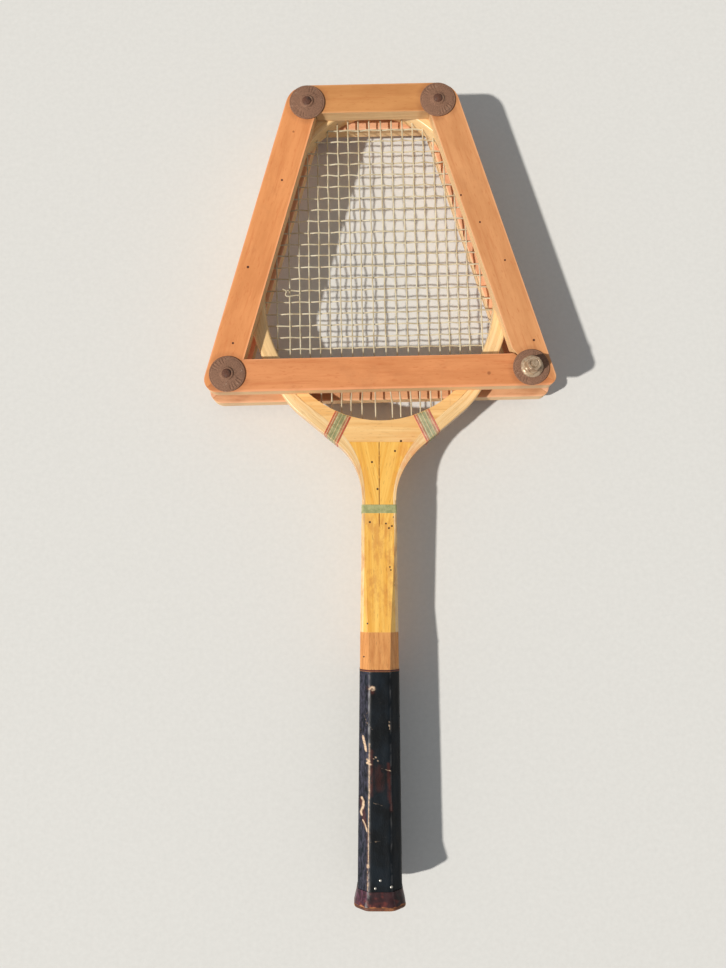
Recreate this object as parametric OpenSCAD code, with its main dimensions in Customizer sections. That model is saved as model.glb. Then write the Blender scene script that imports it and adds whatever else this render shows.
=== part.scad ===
// Wooden lawn racket held in a four-bolt wooden press.
// Origin: centre of the butt end. +Y runs up the racket to its head, +Z is the front.
// The plane z = 0 is the middle of the racket's thickness. All sizes are in mm.

/* [Racket head] */
// Inside width of the head
head_w = 199; // [196:0.5:201]
// Distance from the butt end to the widest place of the head
head_y = 506; // [504:0.5:508]
// Inside height of the head above its widest place
head_up = 166.5; // [164:0.5:168]
// Inside depth of the head below its widest place
head_down = 112.7; // [112:0.1:114]
// Width of the hoop, seen from the front
hoop_w = 13.5; // [13:0.5:14]
// Thickness of the hoop
hoop_t = 18; // [17:0.5:18]
// How far the old head leans to the left, in degrees
head_lean = 1.25; // [0:0.05:1.25]

/* [Throat] */
// Radius of the curve from the shaft into each shoulder
throat_r = 61; // [60:0.5:62]
// Height at which the shaft starts to widen
throat_y = 326; // [325:0.5:327]
// Height of the flat joint between the yoke and the wedge
yoke_y = 375; // [373:1:377]
// Height at which the yoke's horns end
horn_y = 428; // [424:1:432]
// Height of the bottom of the wedge
wedge_y = 305.6; // [303:0.1:308]
// How much the hoop swells outwards at each shoulder
shoulder_w = 4.6; // [4:0.1:5]

/* [Strings] */
// Thickness of a string
string_d = 1.3; // [1.1:0.05:1.4]
// Number of main strings on each side of the middle
mains_side = 10; // [8:1:10]
// Number of cross strings
crosses = 22; // [18:1:22]
// Distance between cross strings
cross_pitch = 10.42; // [10.2:0.02:10.6]

/* [Shaft and handle] */
// Width of the shaft at its narrowest
shaft_w = 28.6; // [28:0.1:29]
// Height at which the handle cheeks start
cheek_y = 216.5; // [210:0.5:222]
// Height of the top of the leather grip
grip_top = 184.8; // [181:0.1:188]
// Height of the bottom of the leather grip
grip_bottom = 14; // [13:0.5:15]
// Thickness of the grip leather
leather_t = 1.3; // [1:0.1:1.4]
// Thickness of the leather disc on the butt end
butt_plate_t = 2.5; // [2:0.5:3]

/* [Press] */
// Half the distance between the two lower bolts
bolt_low = 126.9; // [126:0.1:130]
// Half the distance between the two upper bolts
bolt_high = 56.5; // [56:0.1:59]
// Distance between the lower and the upper bolts
bolt_rise = 237.8; // [237:0.1:240]
// Thickness of a press bar
bar_t = 13.5; // [12:0.1:15]
// Distance from the bolt line to the outside of a side bar
bar_out = 17.9; // [17.5:0.1:18.5]
// Distance from the bolt line to the inside of a side bar
bar_in = 9.7; // [9:0.1:10.5]
// Distance from the lower bolts' line to the outside of the front frame's bottom bar
front_foot_out = 15.2; // [15:0.1:17.9]
// Distance from the lower bolts' line to the inside of the front frame's bottom bar
front_foot_in = 12.3; // [9.7:0.1:12.5]
// Distance from the upper bolts' line to the inside of the front frame's top bar
front_top_in = 9.6; // [7:0.1:10]
// Distance from the upper bolts' line to the inside of the rear frame's top bar
rear_top_in = 7.5; // [7:0.1:10]
// Turn of the press relative to the racket, in degrees
press_turn = 1.3; // [0:0.1:1.5]
// Clearance between the hoop and each press frame
clamp_gap = 0.25; // [0.2:0.05:0.3]

/* [Fasteners] */
// Diameter of a press bolt
bolt_d = 6.3; // [6:0.1:6.4]
// Diameter of the large pressed washers
disc_d = 30.6; // [26:0.2:32]

/* [Hidden] */
$fn = 64;

// Racket
inner_a = head_w / 2;
outer_a = inner_a + hoop_w;
racket_top = head_y + head_up + hoop_w;
// The head turns about this height; below the lean's end the racket is straight
lean_y = 520;
lean_full = 400;
lean_none = 330;
half_t = hoop_t / 2;
arc_step = 3;
// The head's curve hands over to the throat's curve at these two angles
throat_end = 52;
head_start = 36;
// The shoulder's swelling dies away at this angle
swell_end = 66;
// How much further the plies spread at the shoulder than along the shaft
ply_spread = 2.8;
// Each ply's width at the head, and along the shaft
ply_head = 5;
ply_leg = 1.3;
leg_end = grip_top + 1.5;
// Solids of one piece run into each other by this much
lap = 1;
core_half_t = 9.2;
seam = 0.08;
tape_t = 0.35;
tape_w = 1.2;
tape_gap = 0.25;
wrap_t = 0.5;
whipping_w = 14.5;
whipping_turn = 26;
whipping_y = 389.5;
whipping_left_x = 35;
whipping_right_x = 41;
band_y = 314.6;
band_w = 7.3;
band_t = 0.4;

// Strings: the gap between mains shrinks slightly outwards, and the last gap is wide
main_first = 5.1;
main_gap = 9.7;
main_shrink = 0.07;
main_last = 88.5;
cross_first = 657;
string_gap = 0.9;
string_level = 0.7;

// Wood of the shaft and handle: [y, half width, half thickness, corner cut].
// The wood under the leather is set in, so the leather lies almost flush.
shaft_half = shaft_w / 2;
far = 200;
shaft_wood = [
    [grip_top, 16.1, 13.7, 7.6],
    [cheek_y, 15.9, 9.9, 6.7],
    [276, 15.0, 9.15, 2.8],
    [300, 15.0, half_t, 1.5],
    [throat_y, shaft_half, half_t, 0.8]];
// Under the leather the wood tapers evenly between these two heights
grip_low = [butt_plate_t, 16.8, 14.6, 7.9];
grip_high = [grip_top, 15.2, 12.6, 7.2];
collar = [
    [butt_plate_t, 20.7, 17.9, 9.3],
    [5.5, 20.1, 17.4, 9.1],
    [9.5, 19.1, 16.6, 8.8],
    [grip_bottom, 18.4, 16.1, 8.6]];
// Tack heads on the grip's front, as [x, y]
tacks = [[0.2, 22.9], [-3.8, 16.9], [8.9, 18]];
tack_r = 1.1;
tack_l = 6;

// Press, in its own plane: the origin is midway between the two lower bolts
press_y = 432.9;
side_turn = atan((bolt_low - bolt_high) / bolt_rise);
top_out = 16;
// Reach of each frame's bars from the bolts' lines:
// [bottom bar outwards, bottom bar inwards, top bar inwards]
front_span = [front_foot_out, front_foot_in, front_top_in];
rear_span = [bar_out, bar_in, rear_top_in];
// Corner radii of the frames, and how far the front right bar's inner corner is cut back
corner_top = 20;
corner_left = 11;
corner_right = 7.5;
corner_cut = 4.7;
front_z = half_t + clamp_gap;
rear_z = -front_z - bar_t;
bolts = [[-bolt_high, bolt_rise], [bolt_high, bolt_rise], [-bolt_low, 0], [bolt_low, 0]];
// Turn of the mitres against the bottom bar, at the lower and upper corners
mitre_low = (90 + side_turn) / 2 - 90 + side_turn;
mitre_high = 53;
spline_t = 3;
spline_l = 24;
spline_w = 18;

// Fasteners
bolt_r = bolt_d / 2;
hole_r = bolt_r + 0.35;
fit = 0.05;
disc_r = disc_d / 2;
boss_h = 3.4;
disc_z = front_z + bar_t;
washer_t = 1.2;
washer_r = 8;
nut_z = rear_z - washer_t;
hub_h = 8.5;
wing_x = 10.2;
wing_h = 10.3;
wing_r = 3.4;
wing_t = 2.8;
bolt_end = nut_z - hub_h - 4.2;
hex_r = 13.3 / 2 / cos(30);
flange_h = 6.2;
lock_h = 4.8;
lock_r = 11.2 / 2 / cos(30);

// ---------- outlines ----------

// Moves a point of a straight racket to where the leaning head puts it
function lean(p) =
    let (part = min(1, max(0, (p[1] - lean_none) / (lean_full - lean_none))),
         turn = head_lean * part * part * (3 - 2 * part),
         dy = p[1] - lean_y)
    [p[0] * cos(turn) - dy * sin(turn), lean_y + p[0] * sin(turn) + dy * cos(turn)];

// Half of the head's oval at angle t from its foot, with the given half width
// and heights below and above its widest place
function oval(t, half, down, up) =
    [half * sin(t), head_y - (t < 90 ? down : up) * cos(t)];

// Extra width of the hoop at angle t, at its shoulders
function swell(t) =
    t > swell_end ? 0 :
    shoulder_w * pow(cos(90 * (t - head_start) / (swell_end - head_start)), 2);

// Right-hand edge of the racket from the grip to the top of the head,
// moved inwards by in_head around the head and by in_leg along the shaft
function edge(in_head, in_leg) =
    let (r = throat_r + in_leg + ply_spread * (in_head - in_leg),
         cx = shaft_half - in_leg + r)
    concat(
        [for (s = shaft_wood) if (s[0] < throat_y) [s[1] - in_leg, s[0]]],
        [for (a = [0 : throat_end / 10 : throat_end + 0.1])
            [cx - r * cos(a), throat_y + r * sin(a)]],
        [for (t = [head_start : arc_step : 180])
            let (grow = hoop_w - in_head + swell(t))
            oval(t, inner_a + grow, head_down + grow, head_up + grow)]);

module racket_outline(in_head = 0, in_leg = 0) {
    right = edge(in_head, in_leg);
    last = len(right) - 2;
    polygon([for (p = concat(right, [for (i = [last : -1 : 0]) [-right[i][0], right[i][1]]]))
        lean(p)]);
}

module head_opening(grow = 0) {
    polygon([for (t = [0 : arc_step : 359])
        lean(oval(t > 180 ? 360 - t : t, (t > 180 ? -1 : 1) * (inner_a + grow),
            head_down + grow, head_up + grow))]);
}

module y_band(low, high) {
    translate([-far, low])
        square([2 * far, high - low]);
}

// Distance from the axis to one pair of faces of an octagonal station
function reach(s, face) =
    face == 0 ? s[1] : face == 1 ? (s[1] + s[2] - s[3]) / sqrt(2) :
    face == 2 ? s[2] : (s[1] + s[2] - s[3]) / sqrt(2);

module oct_faces(stations, face, grow) {
    rotate([0, 45 * face, 0])
        linear_extrude(height = 3 * far, center = true)
            polygon(concat(
                [for (s = stations) [reach(s, face) + grow, s[0]]],
                [for (i = [len(stations) - 1 : -1 : 0])
                    [-reach(stations[i], face) - grow, stations[i][0]]]));
}

// Bar along Y with an octagonal section that changes from station to station
module oct_bar(stations, grow = 0) {
    intersection() {
        oct_faces(stations, 0, grow);
        oct_faces(stations, 1, grow);
        oct_faces(stations, 2, grow);
        oct_faces(stations, 3, grow);
    }
}

// Plan shape cut to the wood between two heights. Below cheek_y it is the layer
// between the handle's cheeks.
module racket_wood(low, high) {
    if (low < cheek_y)
        shaft_layer(low, min(high, cheek_y + lap), core_half_t)
            children();
    if (low < throat_y)
        shaft_layer(max(low, cheek_y), min(high, throat_y), 2 * hoop_t)
            children();
    if (high > throat_y)
        linear_extrude(height = hoop_t, center = true)
            intersection() {
                children();
                y_band(max(low, throat_y), high);
            }
}

module shaft_layer(low, high, half) {
    intersection() {
        linear_extrude(height = 2 * half, center = true)
            intersection() {
                children();
                y_band(low, high);
            }
        oct_bar(shaft_wood);
    }
}

module bow_ply(out_head, out_leg, in_head, in_leg) {
    racket_wood(leg_end, racket_top + 1)
        ply_plan(out_head, out_leg, in_head, in_leg);
}

module ply_plan(out_head, out_leg, in_head, in_leg) {
    difference() {
        racket_outline(out_head, out_leg);
        head_opening();
        intersection() {
            racket_outline(in_head, in_leg);
            y_band(0, in_head > ply_head ? horn_y : racket_top);
        }
    }
}

module bow_outer_ply() {
    color("burlywood")
        bow_ply(0, 0, ply_head, ply_leg);
}

module bow_inner_ply() {
    color("wheat")
        bow_ply(ply_head, ply_leg, 2 * ply_head, 2 * ply_leg);
}

module throat_yoke() {
    color("navajowhite")
        linear_extrude(height = hoop_t, center = true)
            difference() {
                intersection() {
                    racket_outline(2 * ply_head, 2 * ply_leg);
                    y_band(yoke_y, horn_y);
                }
                head_opening();
            }
}

// Half of the wedge between the bow's legs: side is -1 for the left, 1 for the right
module throat_wedge(side) {
    racket_wood(wedge_y, yoke_y)
        intersection() {
            racket_outline(2 * ply_head, 2 * ply_leg);
            translate([side > 0 ? seam : -far - seam, 0])
                square([far, racket_top]);
        }
}

module throat_wedge_left() {
    color("goldenrod")
        throat_wedge(-1);
}

module throat_wedge_right() {
    color("goldenrod")
        throat_wedge(1);
}

module shaft_core() {
    color("orange") {
        racket_wood(leg_end - lap, wedge_y)
            racket_outline(2 * ply_head, 2 * ply_leg);
        intersection() {
            handle_wood();
            translate([-far, 0, -core_half_t])
                cube([2 * far, leg_end, 2 * core_half_t]);
        }
    }
}

// Station of the wood under the leather at height y
function grip_at(y) =
    let (part = (y - grip_low[0]) / (grip_high[0] - grip_low[0]))
    [y, for (i = [1 : 3]) grip_low[i] + (grip_high[i] - grip_low[i]) * part];

module handle_wood() {
    oct_bar([grip_at(butt_plate_t), grip_at(grip_top + lap)]);
    oct_bar(shaft_wood);
}

// The part of the handle's wood in front of its core
module cheek_wood() {
    intersection() {
        handle_wood();
        translate([-far, 0, core_half_t])
            cube([2 * far, cheek_y, far]);
    }
}

// The wood under the leather, run on past both ends for cutting sleeves
module grip_bore() {
    oct_bar([grip_at(-lap), grip_at(grip_top + lap)]);
}

module handle_cheek_front() {
    color("tan")
        difference() {
            cheek_wood();
            tack_holes();
        }
}

module handle_cheek_back() {
    color("tan")
        mirror([0, 0, 1])
            cheek_wood();
}

// Leather around the wood of the handle
module leather_grip() {
    color("midnightblue")
        difference() {
            oct_bar([grip_at(grip_bottom), grip_at(grip_top)], leather_t);
            grip_bore();
            tack_holes();
        }
}

// Thin sleeve around the shaft between two of its stations
module shaft_sleeve(low, high, grow) {
    difference() {
        intersection() {
            oct_bar(shaft_wood, grow);
            translate([-far, low, -far])
                cube([2 * far, high - low, 2 * far]);
        }
        oct_bar(shaft_wood);
    }
}

module grip_top_tape() {
    color("maroon")
        shaft_sleeve(grip_top + tape_gap, grip_top + tape_gap + tape_w, tape_t);
}

module butt_collar() {
    color("saddlebrown")
        difference() {
            oct_bar(collar);
            grip_bore();
        }
}

module butt_plate() {
    rim = [for (i = [0, 1]) [i * 0.8, collar[0][1] - 0.6 + i * 0.6,
        collar[0][2] - 0.6 + i * 0.6, collar[0][3]]];
    color("tan")
        oct_bar(concat(rim, [[butt_plate_t, collar[0][1], collar[0][2], collar[0][3]]]));
}

// Height of the grip's front face above z = 0 at a given height
function grip_face(y) = grip_at(y)[2] + leather_t;

module tack_holes() {
    for (t = tacks)
        translate([t[0], t[1], grip_face(t[1]) - tack_l])
            cylinder(r = tack_r / 2, h = tack_l + 1);
}

module grip_tacks() {
    color("silver")
        for (t = tacks)
            translate([t[0], t[1], grip_face(t[1]) - tack_l]) {
                cylinder(r = tack_r / 2, h = tack_l + 0.1);
                translate([0, 0, tack_l + 0.05])
                    cylinder(r = tack_r, h = 0.5);
            }
}

module shoulder_whipping(x) {
    difference() {
        linear_extrude(height = hoop_t + 2 * wrap_t, center = true)
            intersection() {
                difference() {
                    racket_outline(-wrap_t, -wrap_t);
                    head_opening(-wrap_t);
                }
                whipping_strip(x);
            }
        linear_extrude(height = hoop_t, center = true)
            difference() {
                racket_outline();
                head_opening();
            }
    }
}

module whipping_strip(x) {
    translate([x, whipping_y])
        rotate(x > 0 ? whipping_turn : -whipping_turn)
            square([whipping_w, 50], center = true);
}

module shoulder_whipping_left() {
    color("olivedrab")
        shoulder_whipping(-whipping_left_x);
}

module shoulder_whipping_right() {
    color("olivedrab")
        shoulder_whipping(whipping_right_x);
}

module shaft_band() {
    color("olive")
        shaft_sleeve(band_y, band_y + band_w, band_t);
}

// Distance of main string i from the middle, counted from 0
function main_x(i) =
    i == 9 ? main_last : main_first + main_gap * i - main_shrink * i * (i + 1);

// Places the strings, drawn for an upright head, in the leaning one
module lean_strings() {
    translate([0, lean_y, 0])
        rotate(head_lean)
            translate([0, -lean_y, 0])
                children();
}

module main_strings() {
    color("beige")
        lean_strings()
            for (i = [0 : mains_side - 1], side = [-1, 1]) {
                rise = sqrt(1 - pow((main_x(i) + string_d / 2) / inner_a, 2));
                low = head_y - head_down * rise + string_gap;
                high = head_y + head_up * rise - string_gap;
                translate([side * main_x(i), low, string_level])
                    rotate([-90, 0, 0])
                        cylinder(d = string_d, h = high - low, $fn = 16);
            }
}

module cross_strings() {
    color("beige")
        lean_strings()
            for (i = [0 : crosses - 1]) {
                y = cross_first - i * cross_pitch;
                part = (abs(y - head_y) + string_d / 2) / (y > head_y ? head_up : head_down);
                half = inner_a * sqrt(1 - part * part) - string_gap;
                translate([0, y, -string_level])
                    rotate([0, 90, 0])
                        cylinder(d = string_d, h = 2 * half, center = true, $fn = 16);
            }
}

// ---------- press ----------

// Position across the press, at height y, of a line that runs parallel to the
// side bolts' line at a distance off outside it
function side_x(y, off) = bolt_low + (off - y * sin(side_turn)) / cos(side_turn);

module press_place() {
    translate([0, press_y, 0])
        rotate(press_turn)
            children();
}

// Arc of radius r inside one corner of a frame, seen on its right-hand side
function corner_arc(r, y, from, to) =
    [for (a = [from : (to - from) / 8 : to + 0.1])
        [side_x(y, bar_out - r) + r * cos(a), y + r * sin(a)]];

// Right-hand outline of a frame with the lower corner's radius given
function press_side(r, span) = concat(
    corner_arc(r, r - span[0], -90, side_turn),
    corner_arc(corner_top, bolt_rise + top_out - corner_top, side_turn, 90));

// Outside of a press frame with round corners
module press_outline(span) {
    right = press_side(corner_right, span);
    left = press_side(corner_left, span);
    last = len(left) - 1;
    polygon(concat(right, [for (i = [last : -1 : 0]) [-left[i][0], left[i][1]]]));
}

// Plan of one bar from its four corner points, with both ends mitred
module bar_plan(name, span) {
    top = bolt_rise + top_out;
    under = bolt_rise - span[2];
    low_out = [side_x(-span[0], bar_out), -span[0]];
    low_in = [side_x(span[1], -bar_in), span[1]];
    top_outer = [side_x(top, bar_out), top];
    top_inner = [side_x(under, -bar_in), under];
    if (name == "bottom")
        polygon([[-low_out[0], low_out[1]], low_out, low_in, [-low_in[0], low_in[1]]]);
    if (name == "top")
        polygon([[-top_outer[0], top_outer[1]], top_outer, top_inner,
            [-top_inner[0], top_inner[1]]]);
    if (name == "right") {
        cut = span == front_span ? corner_cut : 0;
        part = cut / (span[0] + span[1]);
        polygon([low_out, top_outer, top_inner, [side_x(low_in[1] + cut, -bar_in), low_in[1] + cut],
            low_in + (low_out - low_in) * part]);
    }
    if (name == "left")
        mirror([1, 0])
            polygon([low_out, top_outer, top_inner, low_in]);
}

module bar(name, span, z) {
    press_place()
        translate([0, 0, z])
            difference() {
                linear_extrude(height = bar_t)
                    intersection() {
                        bar_plan(name, span);
                        press_outline(span);
                    }
                bolt_holes(bar_t);
                translate([0, 0, (bar_t - spline_t) / 2])
                    corner_splines(hole = false);
            }
}

module bolt_holes(depth) {
    for (b = bolts)
        translate([b[0], b[1], -1])
            cylinder(r = hole_r, h = depth + 2);
}

// Loose tongues that key the mitres, one at each bolt
module corner_splines(hole) {
    for (b = bolts) {
        turn = b[1] > 0 ? mitre_high : -mitre_low;
        translate([b[0], b[1], 0])
            difference() {
                rotate(b[0] > 0 ? turn : -turn)
                    translate([-spline_l / 2, -spline_w / 2, 0])
                        cube([spline_l, spline_w, spline_t]);
                if (hole)
                    translate([0, 0, -1])
                        cylinder(r = hole_r, h = spline_t + 2);
            }
    }
}

module splines_at(z) {
    press_place()
        translate([0, 0, z + (bar_t - spline_t) / 2])
            corner_splines(hole = true);
}

module front_top_bar() {
    color("sandybrown")
        bar("top", front_span, front_z);
}

module front_bottom_bar() {
    color("sandybrown")
        bar("bottom", front_span, front_z);
}

module front_left_bar() {
    color("sandybrown")
        bar("left", front_span, front_z);
}

module front_right_bar() {
    color("sandybrown")
        bar("right", front_span, front_z);
}

module front_corner_splines() {
    color("peru")
        splines_at(front_z);
}

module rear_top_bar() {
    color("peru")
        bar("top", rear_span, rear_z);
}

module rear_bottom_bar() {
    color("peru")
        bar("bottom", rear_span, rear_z);
}

module rear_left_bar() {
    color("peru")
        bar("left", rear_span, rear_z);
}

module rear_right_bar() {
    color("peru")
        bar("right", rear_span, rear_z);
}

module rear_corner_splines() {
    color("sienna")
        splines_at(rear_z);
}

// ---------- fasteners ----------

// Places a fastener on bolt i: 0 top left, 1 top right, 2 bottom left, 3 bottom right
module at_bolt(i, z) {
    press_place()
        translate([bolts[i][0], bolts[i][1], z])
            children();
}

// Large pressed washer with a raised boss, flat side down
module disc() {
    rotate_extrude()
        polygon([
            [bolt_r + fit, 0], [disc_r, 0], [disc_r, 1], [disc_r - 0.6, 1.5],
            [9, 2], [5.6, 2.3], [5.2, 3.1], [4.7, boss_h], [bolt_r + fit, boss_h]]);
}

module disc_top_left() {
    color("rosybrown")
        at_bolt(0, disc_z)
            disc();
}

module disc_top_right() {
    color("rosybrown")
        at_bolt(1, disc_z)
            disc();
}

module disc_bottom_left() {
    color("rosybrown")
        at_bolt(2, disc_z)
            disc();
}

module disc_bottom_right() {
    color("rosybrown")
        at_bolt(3, disc_z)
            disc();
}

// Bolt with a small domed head on the boss
module bolt() {
    head_r = bolt_r + 0.8;
    shank = disc_z + boss_h - bolt_end;
    translate([0, 0, bolt_end])
        cylinder(r = bolt_r, h = shank + 0.1);
    translate([0, 0, disc_z + boss_h])
        rotate_extrude()
            polygon([[0, 0], [head_r, 0], [head_r, 0.5], [head_r - 0.7, 1.1],
                [head_r - 1.9, 1.5], [0, 1.6]]);
}

module bolt_top_left() {
    color("dimgray")
        at_bolt(0, 0)
            bolt();
}

module bolt_top_right() {
    color("dimgray")
        at_bolt(1, 0)
            bolt();
}

module bolt_bottom_left() {
    color("dimgray")
        at_bolt(2, 0)
            bolt();
}

// Replacement stud: the two nuts jammed on its front end stand in for a head
module stud_bottom_right() {
    stud_top = disc_z + boss_h + flange_h + lock_h + 0.6;
    color("silver")
        at_bolt(3, bolt_end)
            cylinder(r = bolt_r, h = stud_top - bolt_end);
}

module flange_nut() {
    color("silver")
        at_bolt(3, disc_z + boss_h)
            difference() {
                union() {
                    cylinder(r1 = 9.4, r2 = 8.4, h = 1.6);
                    cylinder(r = hex_r, h = flange_h, $fn = 6);
                }
                translate([0, 0, -1])
                    cylinder(r = bolt_r + fit, h = flange_h + 2);
            }
}

module lock_nut() {
    color("silver")
        at_bolt(3, disc_z + boss_h + flange_h)
            difference() {
                rotate(20)
                    cylinder(r = lock_r, h = lock_h, $fn = 6);
                translate([0, 0, -1])
                    cylinder(r = bolt_r + fit, h = lock_h + 2);
            }
}

module plain_washers() {
    color("gray")
        for (i = [0 : 3])
            at_bolt(i, nut_z)
                difference() {
                    cylinder(r = washer_r, h = washer_t);
                    translate([0, 0, -1])
                        cylinder(r = hole_r, h = washer_t + 2);
                }
}

// Wing nut hanging below z = 0, turned about its bolt
module wing_nut(turn) {
    rotate(turn)
        mirror([0, 0, 1])
            difference() {
                union() {
                    cylinder(r1 = 6.4, r2 = 5.2, h = hub_h);
                    for (side = [0, 180])
                        rotate(side)
                            wing();
                }
                translate([0, 0, -1])
                    cylinder(r = bolt_r + fit, h = hub_h + 20);
            }
}

module wing() {
    translate([0, wing_t / 2, 0])
        rotate([90, 0, 0])
            linear_extrude(height = wing_t) {
                polygon([[bolt_r + 1, 1], [6, 1.2], [wing_x + 2.6, wing_h - 2.2],
                    [wing_x - 2.6, wing_h + 2.2], [bolt_r + 1, hub_h - 0.5]]);
                translate([wing_x, wing_h])
                    circle(r = wing_r);
            }
}

module wing_nut_top_left() {
    color("darkgoldenrod")
        at_bolt(0, nut_z)
            wing_nut(35);
}

module wing_nut_top_right() {
    color("darkgoldenrod")
        at_bolt(1, nut_z)
            wing_nut(-20);
}

module wing_nut_bottom_left() {
    color("darkgoldenrod")
        at_bolt(2, nut_z)
            wing_nut(78);
}

module wing_nut_bottom_right() {
    color("darkgoldenrod")
        at_bolt(3, nut_z)
            wing_nut(105);
}

bow_outer_ply();
bow_inner_ply();
throat_yoke();
throat_wedge_left();
throat_wedge_right();
shaft_core();
handle_cheek_front();
handle_cheek_back();
leather_grip();
grip_top_tape();
butt_collar();
butt_plate();
grip_tacks();
shoulder_whipping_left();
shoulder_whipping_right();
shaft_band();
main_strings();
cross_strings();
front_top_bar();
front_bottom_bar();
front_left_bar();
front_right_bar();
front_corner_splines();
rear_top_bar();
rear_bottom_bar();
rear_left_bar();
rear_right_bar();
rear_corner_splines();
disc_top_left();
disc_top_right();
disc_bottom_left();
disc_bottom_right();
bolt_top_left();
bolt_top_right();
bolt_bottom_left();
stud_bottom_right();
flange_nut();
lock_nut();
plain_washers();
wing_nut_top_left();
wing_nut_top_right();
wing_nut_bottom_left();
wing_nut_bottom_right();
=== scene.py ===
"""Looks of the racket in its press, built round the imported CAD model."""
import random
from math import atan, cos, degrees, exp, hypot, pi, radians, sin, sqrt
import bpy
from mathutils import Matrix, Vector, noise


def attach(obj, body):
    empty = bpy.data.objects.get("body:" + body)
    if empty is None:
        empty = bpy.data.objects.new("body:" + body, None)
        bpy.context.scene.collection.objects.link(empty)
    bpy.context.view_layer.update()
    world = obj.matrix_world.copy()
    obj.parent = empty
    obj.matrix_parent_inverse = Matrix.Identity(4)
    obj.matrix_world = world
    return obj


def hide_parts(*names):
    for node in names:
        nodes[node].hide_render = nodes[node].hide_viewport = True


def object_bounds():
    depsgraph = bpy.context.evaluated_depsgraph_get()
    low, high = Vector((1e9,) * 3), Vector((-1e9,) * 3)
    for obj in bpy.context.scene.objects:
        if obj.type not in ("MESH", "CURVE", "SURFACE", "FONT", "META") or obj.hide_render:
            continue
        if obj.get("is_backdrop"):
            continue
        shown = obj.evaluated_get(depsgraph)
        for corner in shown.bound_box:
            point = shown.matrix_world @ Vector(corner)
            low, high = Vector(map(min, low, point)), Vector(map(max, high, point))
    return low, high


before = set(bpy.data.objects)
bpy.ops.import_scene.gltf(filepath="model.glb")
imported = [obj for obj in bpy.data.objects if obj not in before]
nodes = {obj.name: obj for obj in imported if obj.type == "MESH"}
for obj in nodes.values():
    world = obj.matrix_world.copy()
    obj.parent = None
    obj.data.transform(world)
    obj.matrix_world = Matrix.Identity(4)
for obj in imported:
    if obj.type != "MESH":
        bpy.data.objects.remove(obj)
cad_low, cad_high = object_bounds()
scene = bpy.context.scene
MM = 0.001
random.seed(7)

# ---------- sizes shared with the CAD source, in mm ----------
INNER_A, HEAD_Y, HEAD_UP, HEAD_DOWN = 99.5, 506.0, 166.5, 112.7
HOOP_W, HALF_T = 13.5, 9.0
LEAN, LEAN_Y, LEAN_FULL, LEAN_NONE = 1.25, 520.0, 400.0, 330.0
THROAT_R, THROAT_Y, THROAT_END, HEAD_START = 61.0, 326.0, 52.0, 36.0
SHOULDER_W, SWELL_END = 4.6, 66.0
PLY_SPREAD, PLY_HEAD, PLY_LEG, HORN_Y = 2.8, 5.0, 1.3, 428.0
SHAFT_HALF, CORE_HALF_T = 14.3, 9.2
GRIP_TOP, GRIP_BOTTOM, CHEEK_Y, LEG_END = 184.8, 14.0, 216.5, 186.3
SHAFT = [(184.8, 16.1, 13.7, 7.6), (216.5, 15.9, 9.9, 6.7), (276.0, 15.0, 9.15, 2.8),
         (300.0, 15.0, 9.0, 1.5), (326.0, 14.3, 9.0, 0.8)]
GRIP = [(2.5, 16.8, 14.6, 7.9), (184.8, 15.2, 12.6, 7.2)]
COLLAR = [(2.5, 20.7, 17.9, 9.3), (5.5, 20.1, 17.4, 9.1), (9.5, 19.1, 16.6, 8.8),
          (14.0, 18.4, 16.1, 8.6)]
LEATHER = 1.3
PRESS_Y, PRESS_TURN = 432.9, radians(1.3)
BOLT_LOW, BOLT_HIGH, BOLT_RISE = 126.9, 56.5, 237.8
BOLTS = {"top_left": (-BOLT_HIGH, BOLT_RISE), "top_right": (BOLT_HIGH, BOLT_RISE),
         "bottom_left": (-BOLT_LOW, 0.0), "bottom_right": (BOLT_LOW, 0.0)}
SIDE_TURN = atan((BOLT_LOW - BOLT_HIGH) / BOLT_RISE)
BAR_OUT, BAR_IN, TOP_OUT = 17.9, 9.7, 16.0
# Reach of the bottom bar outwards and inwards, and of the top bar inwards
REACH = {"front": (15.2, 12.3, 9.6), "rear": (17.9, 9.7, 7.5)}
DISC_Z, BOSS_H, DISC_R, BOLT_R = 22.75, 3.4, 15.3, 3.15
BOLT_END, PITCH = -36.65, 1.27
STRING_R = 0.65
MAIN_LAST, CROSS_FIRST, CROSS_PITCH, CROSSES = 88.5, 657.0, 10.42, 22


# ---------- outlines of the racket and places on the press ----------
def lerp_station(stations, y):
    """(half width, half thickness, corner cut) of an octagonal bar at height y."""
    for a, b in zip(stations, stations[1:]):
        if y <= b[0] or b is stations[-1]:
            t = (y - a[0]) / (b[0] - a[0])
            return [a[i] + (b[i] - a[i]) * t for i in (1, 2, 3)]


def turned(x, y, t):
    """A point turned by t about the place that the head leans about."""
    dy = y - LEAN_Y
    return x * cos(t) - dy * sin(t), LEAN_Y + x * sin(t) + dy * cos(t)


def lean(x, y):
    """A point of the upright racket, moved by a lean that grows from the throat to the head."""
    part = min(1.0, max(0.0, (y - LEAN_NONE) / (LEAN_FULL - LEAN_NONE)))
    return turned(x, y, radians(LEAN) * part * part * (3 - 2 * part))


def lean_head(x, y, z=0.0):
    """A point of the upright head, moved by the head's whole lean."""
    return (*turned(x, y, radians(LEAN)), z)


def oval(deg, grow=0.0):
    """Point of the head's inner oval, grown outwards; 0 degrees is its lowest point."""
    t = radians(deg)
    reach = (HEAD_DOWN if deg < 90 else HEAD_UP) + grow
    return ((INNER_A + grow) * sin(t), HEAD_Y - reach * cos(t))


LEG_YS = [LEG_END, 190, 195, 200, 205, 210, 216, 217, 225, 235, 245, 255, 265, 275, 285, 295, 301,
          308, 314, 320, 325.5]
ARC = [i * THROAT_END / 12 for i in range(13)]
OVAL = [HEAD_START + 1.5 * i for i in range(97)]


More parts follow.
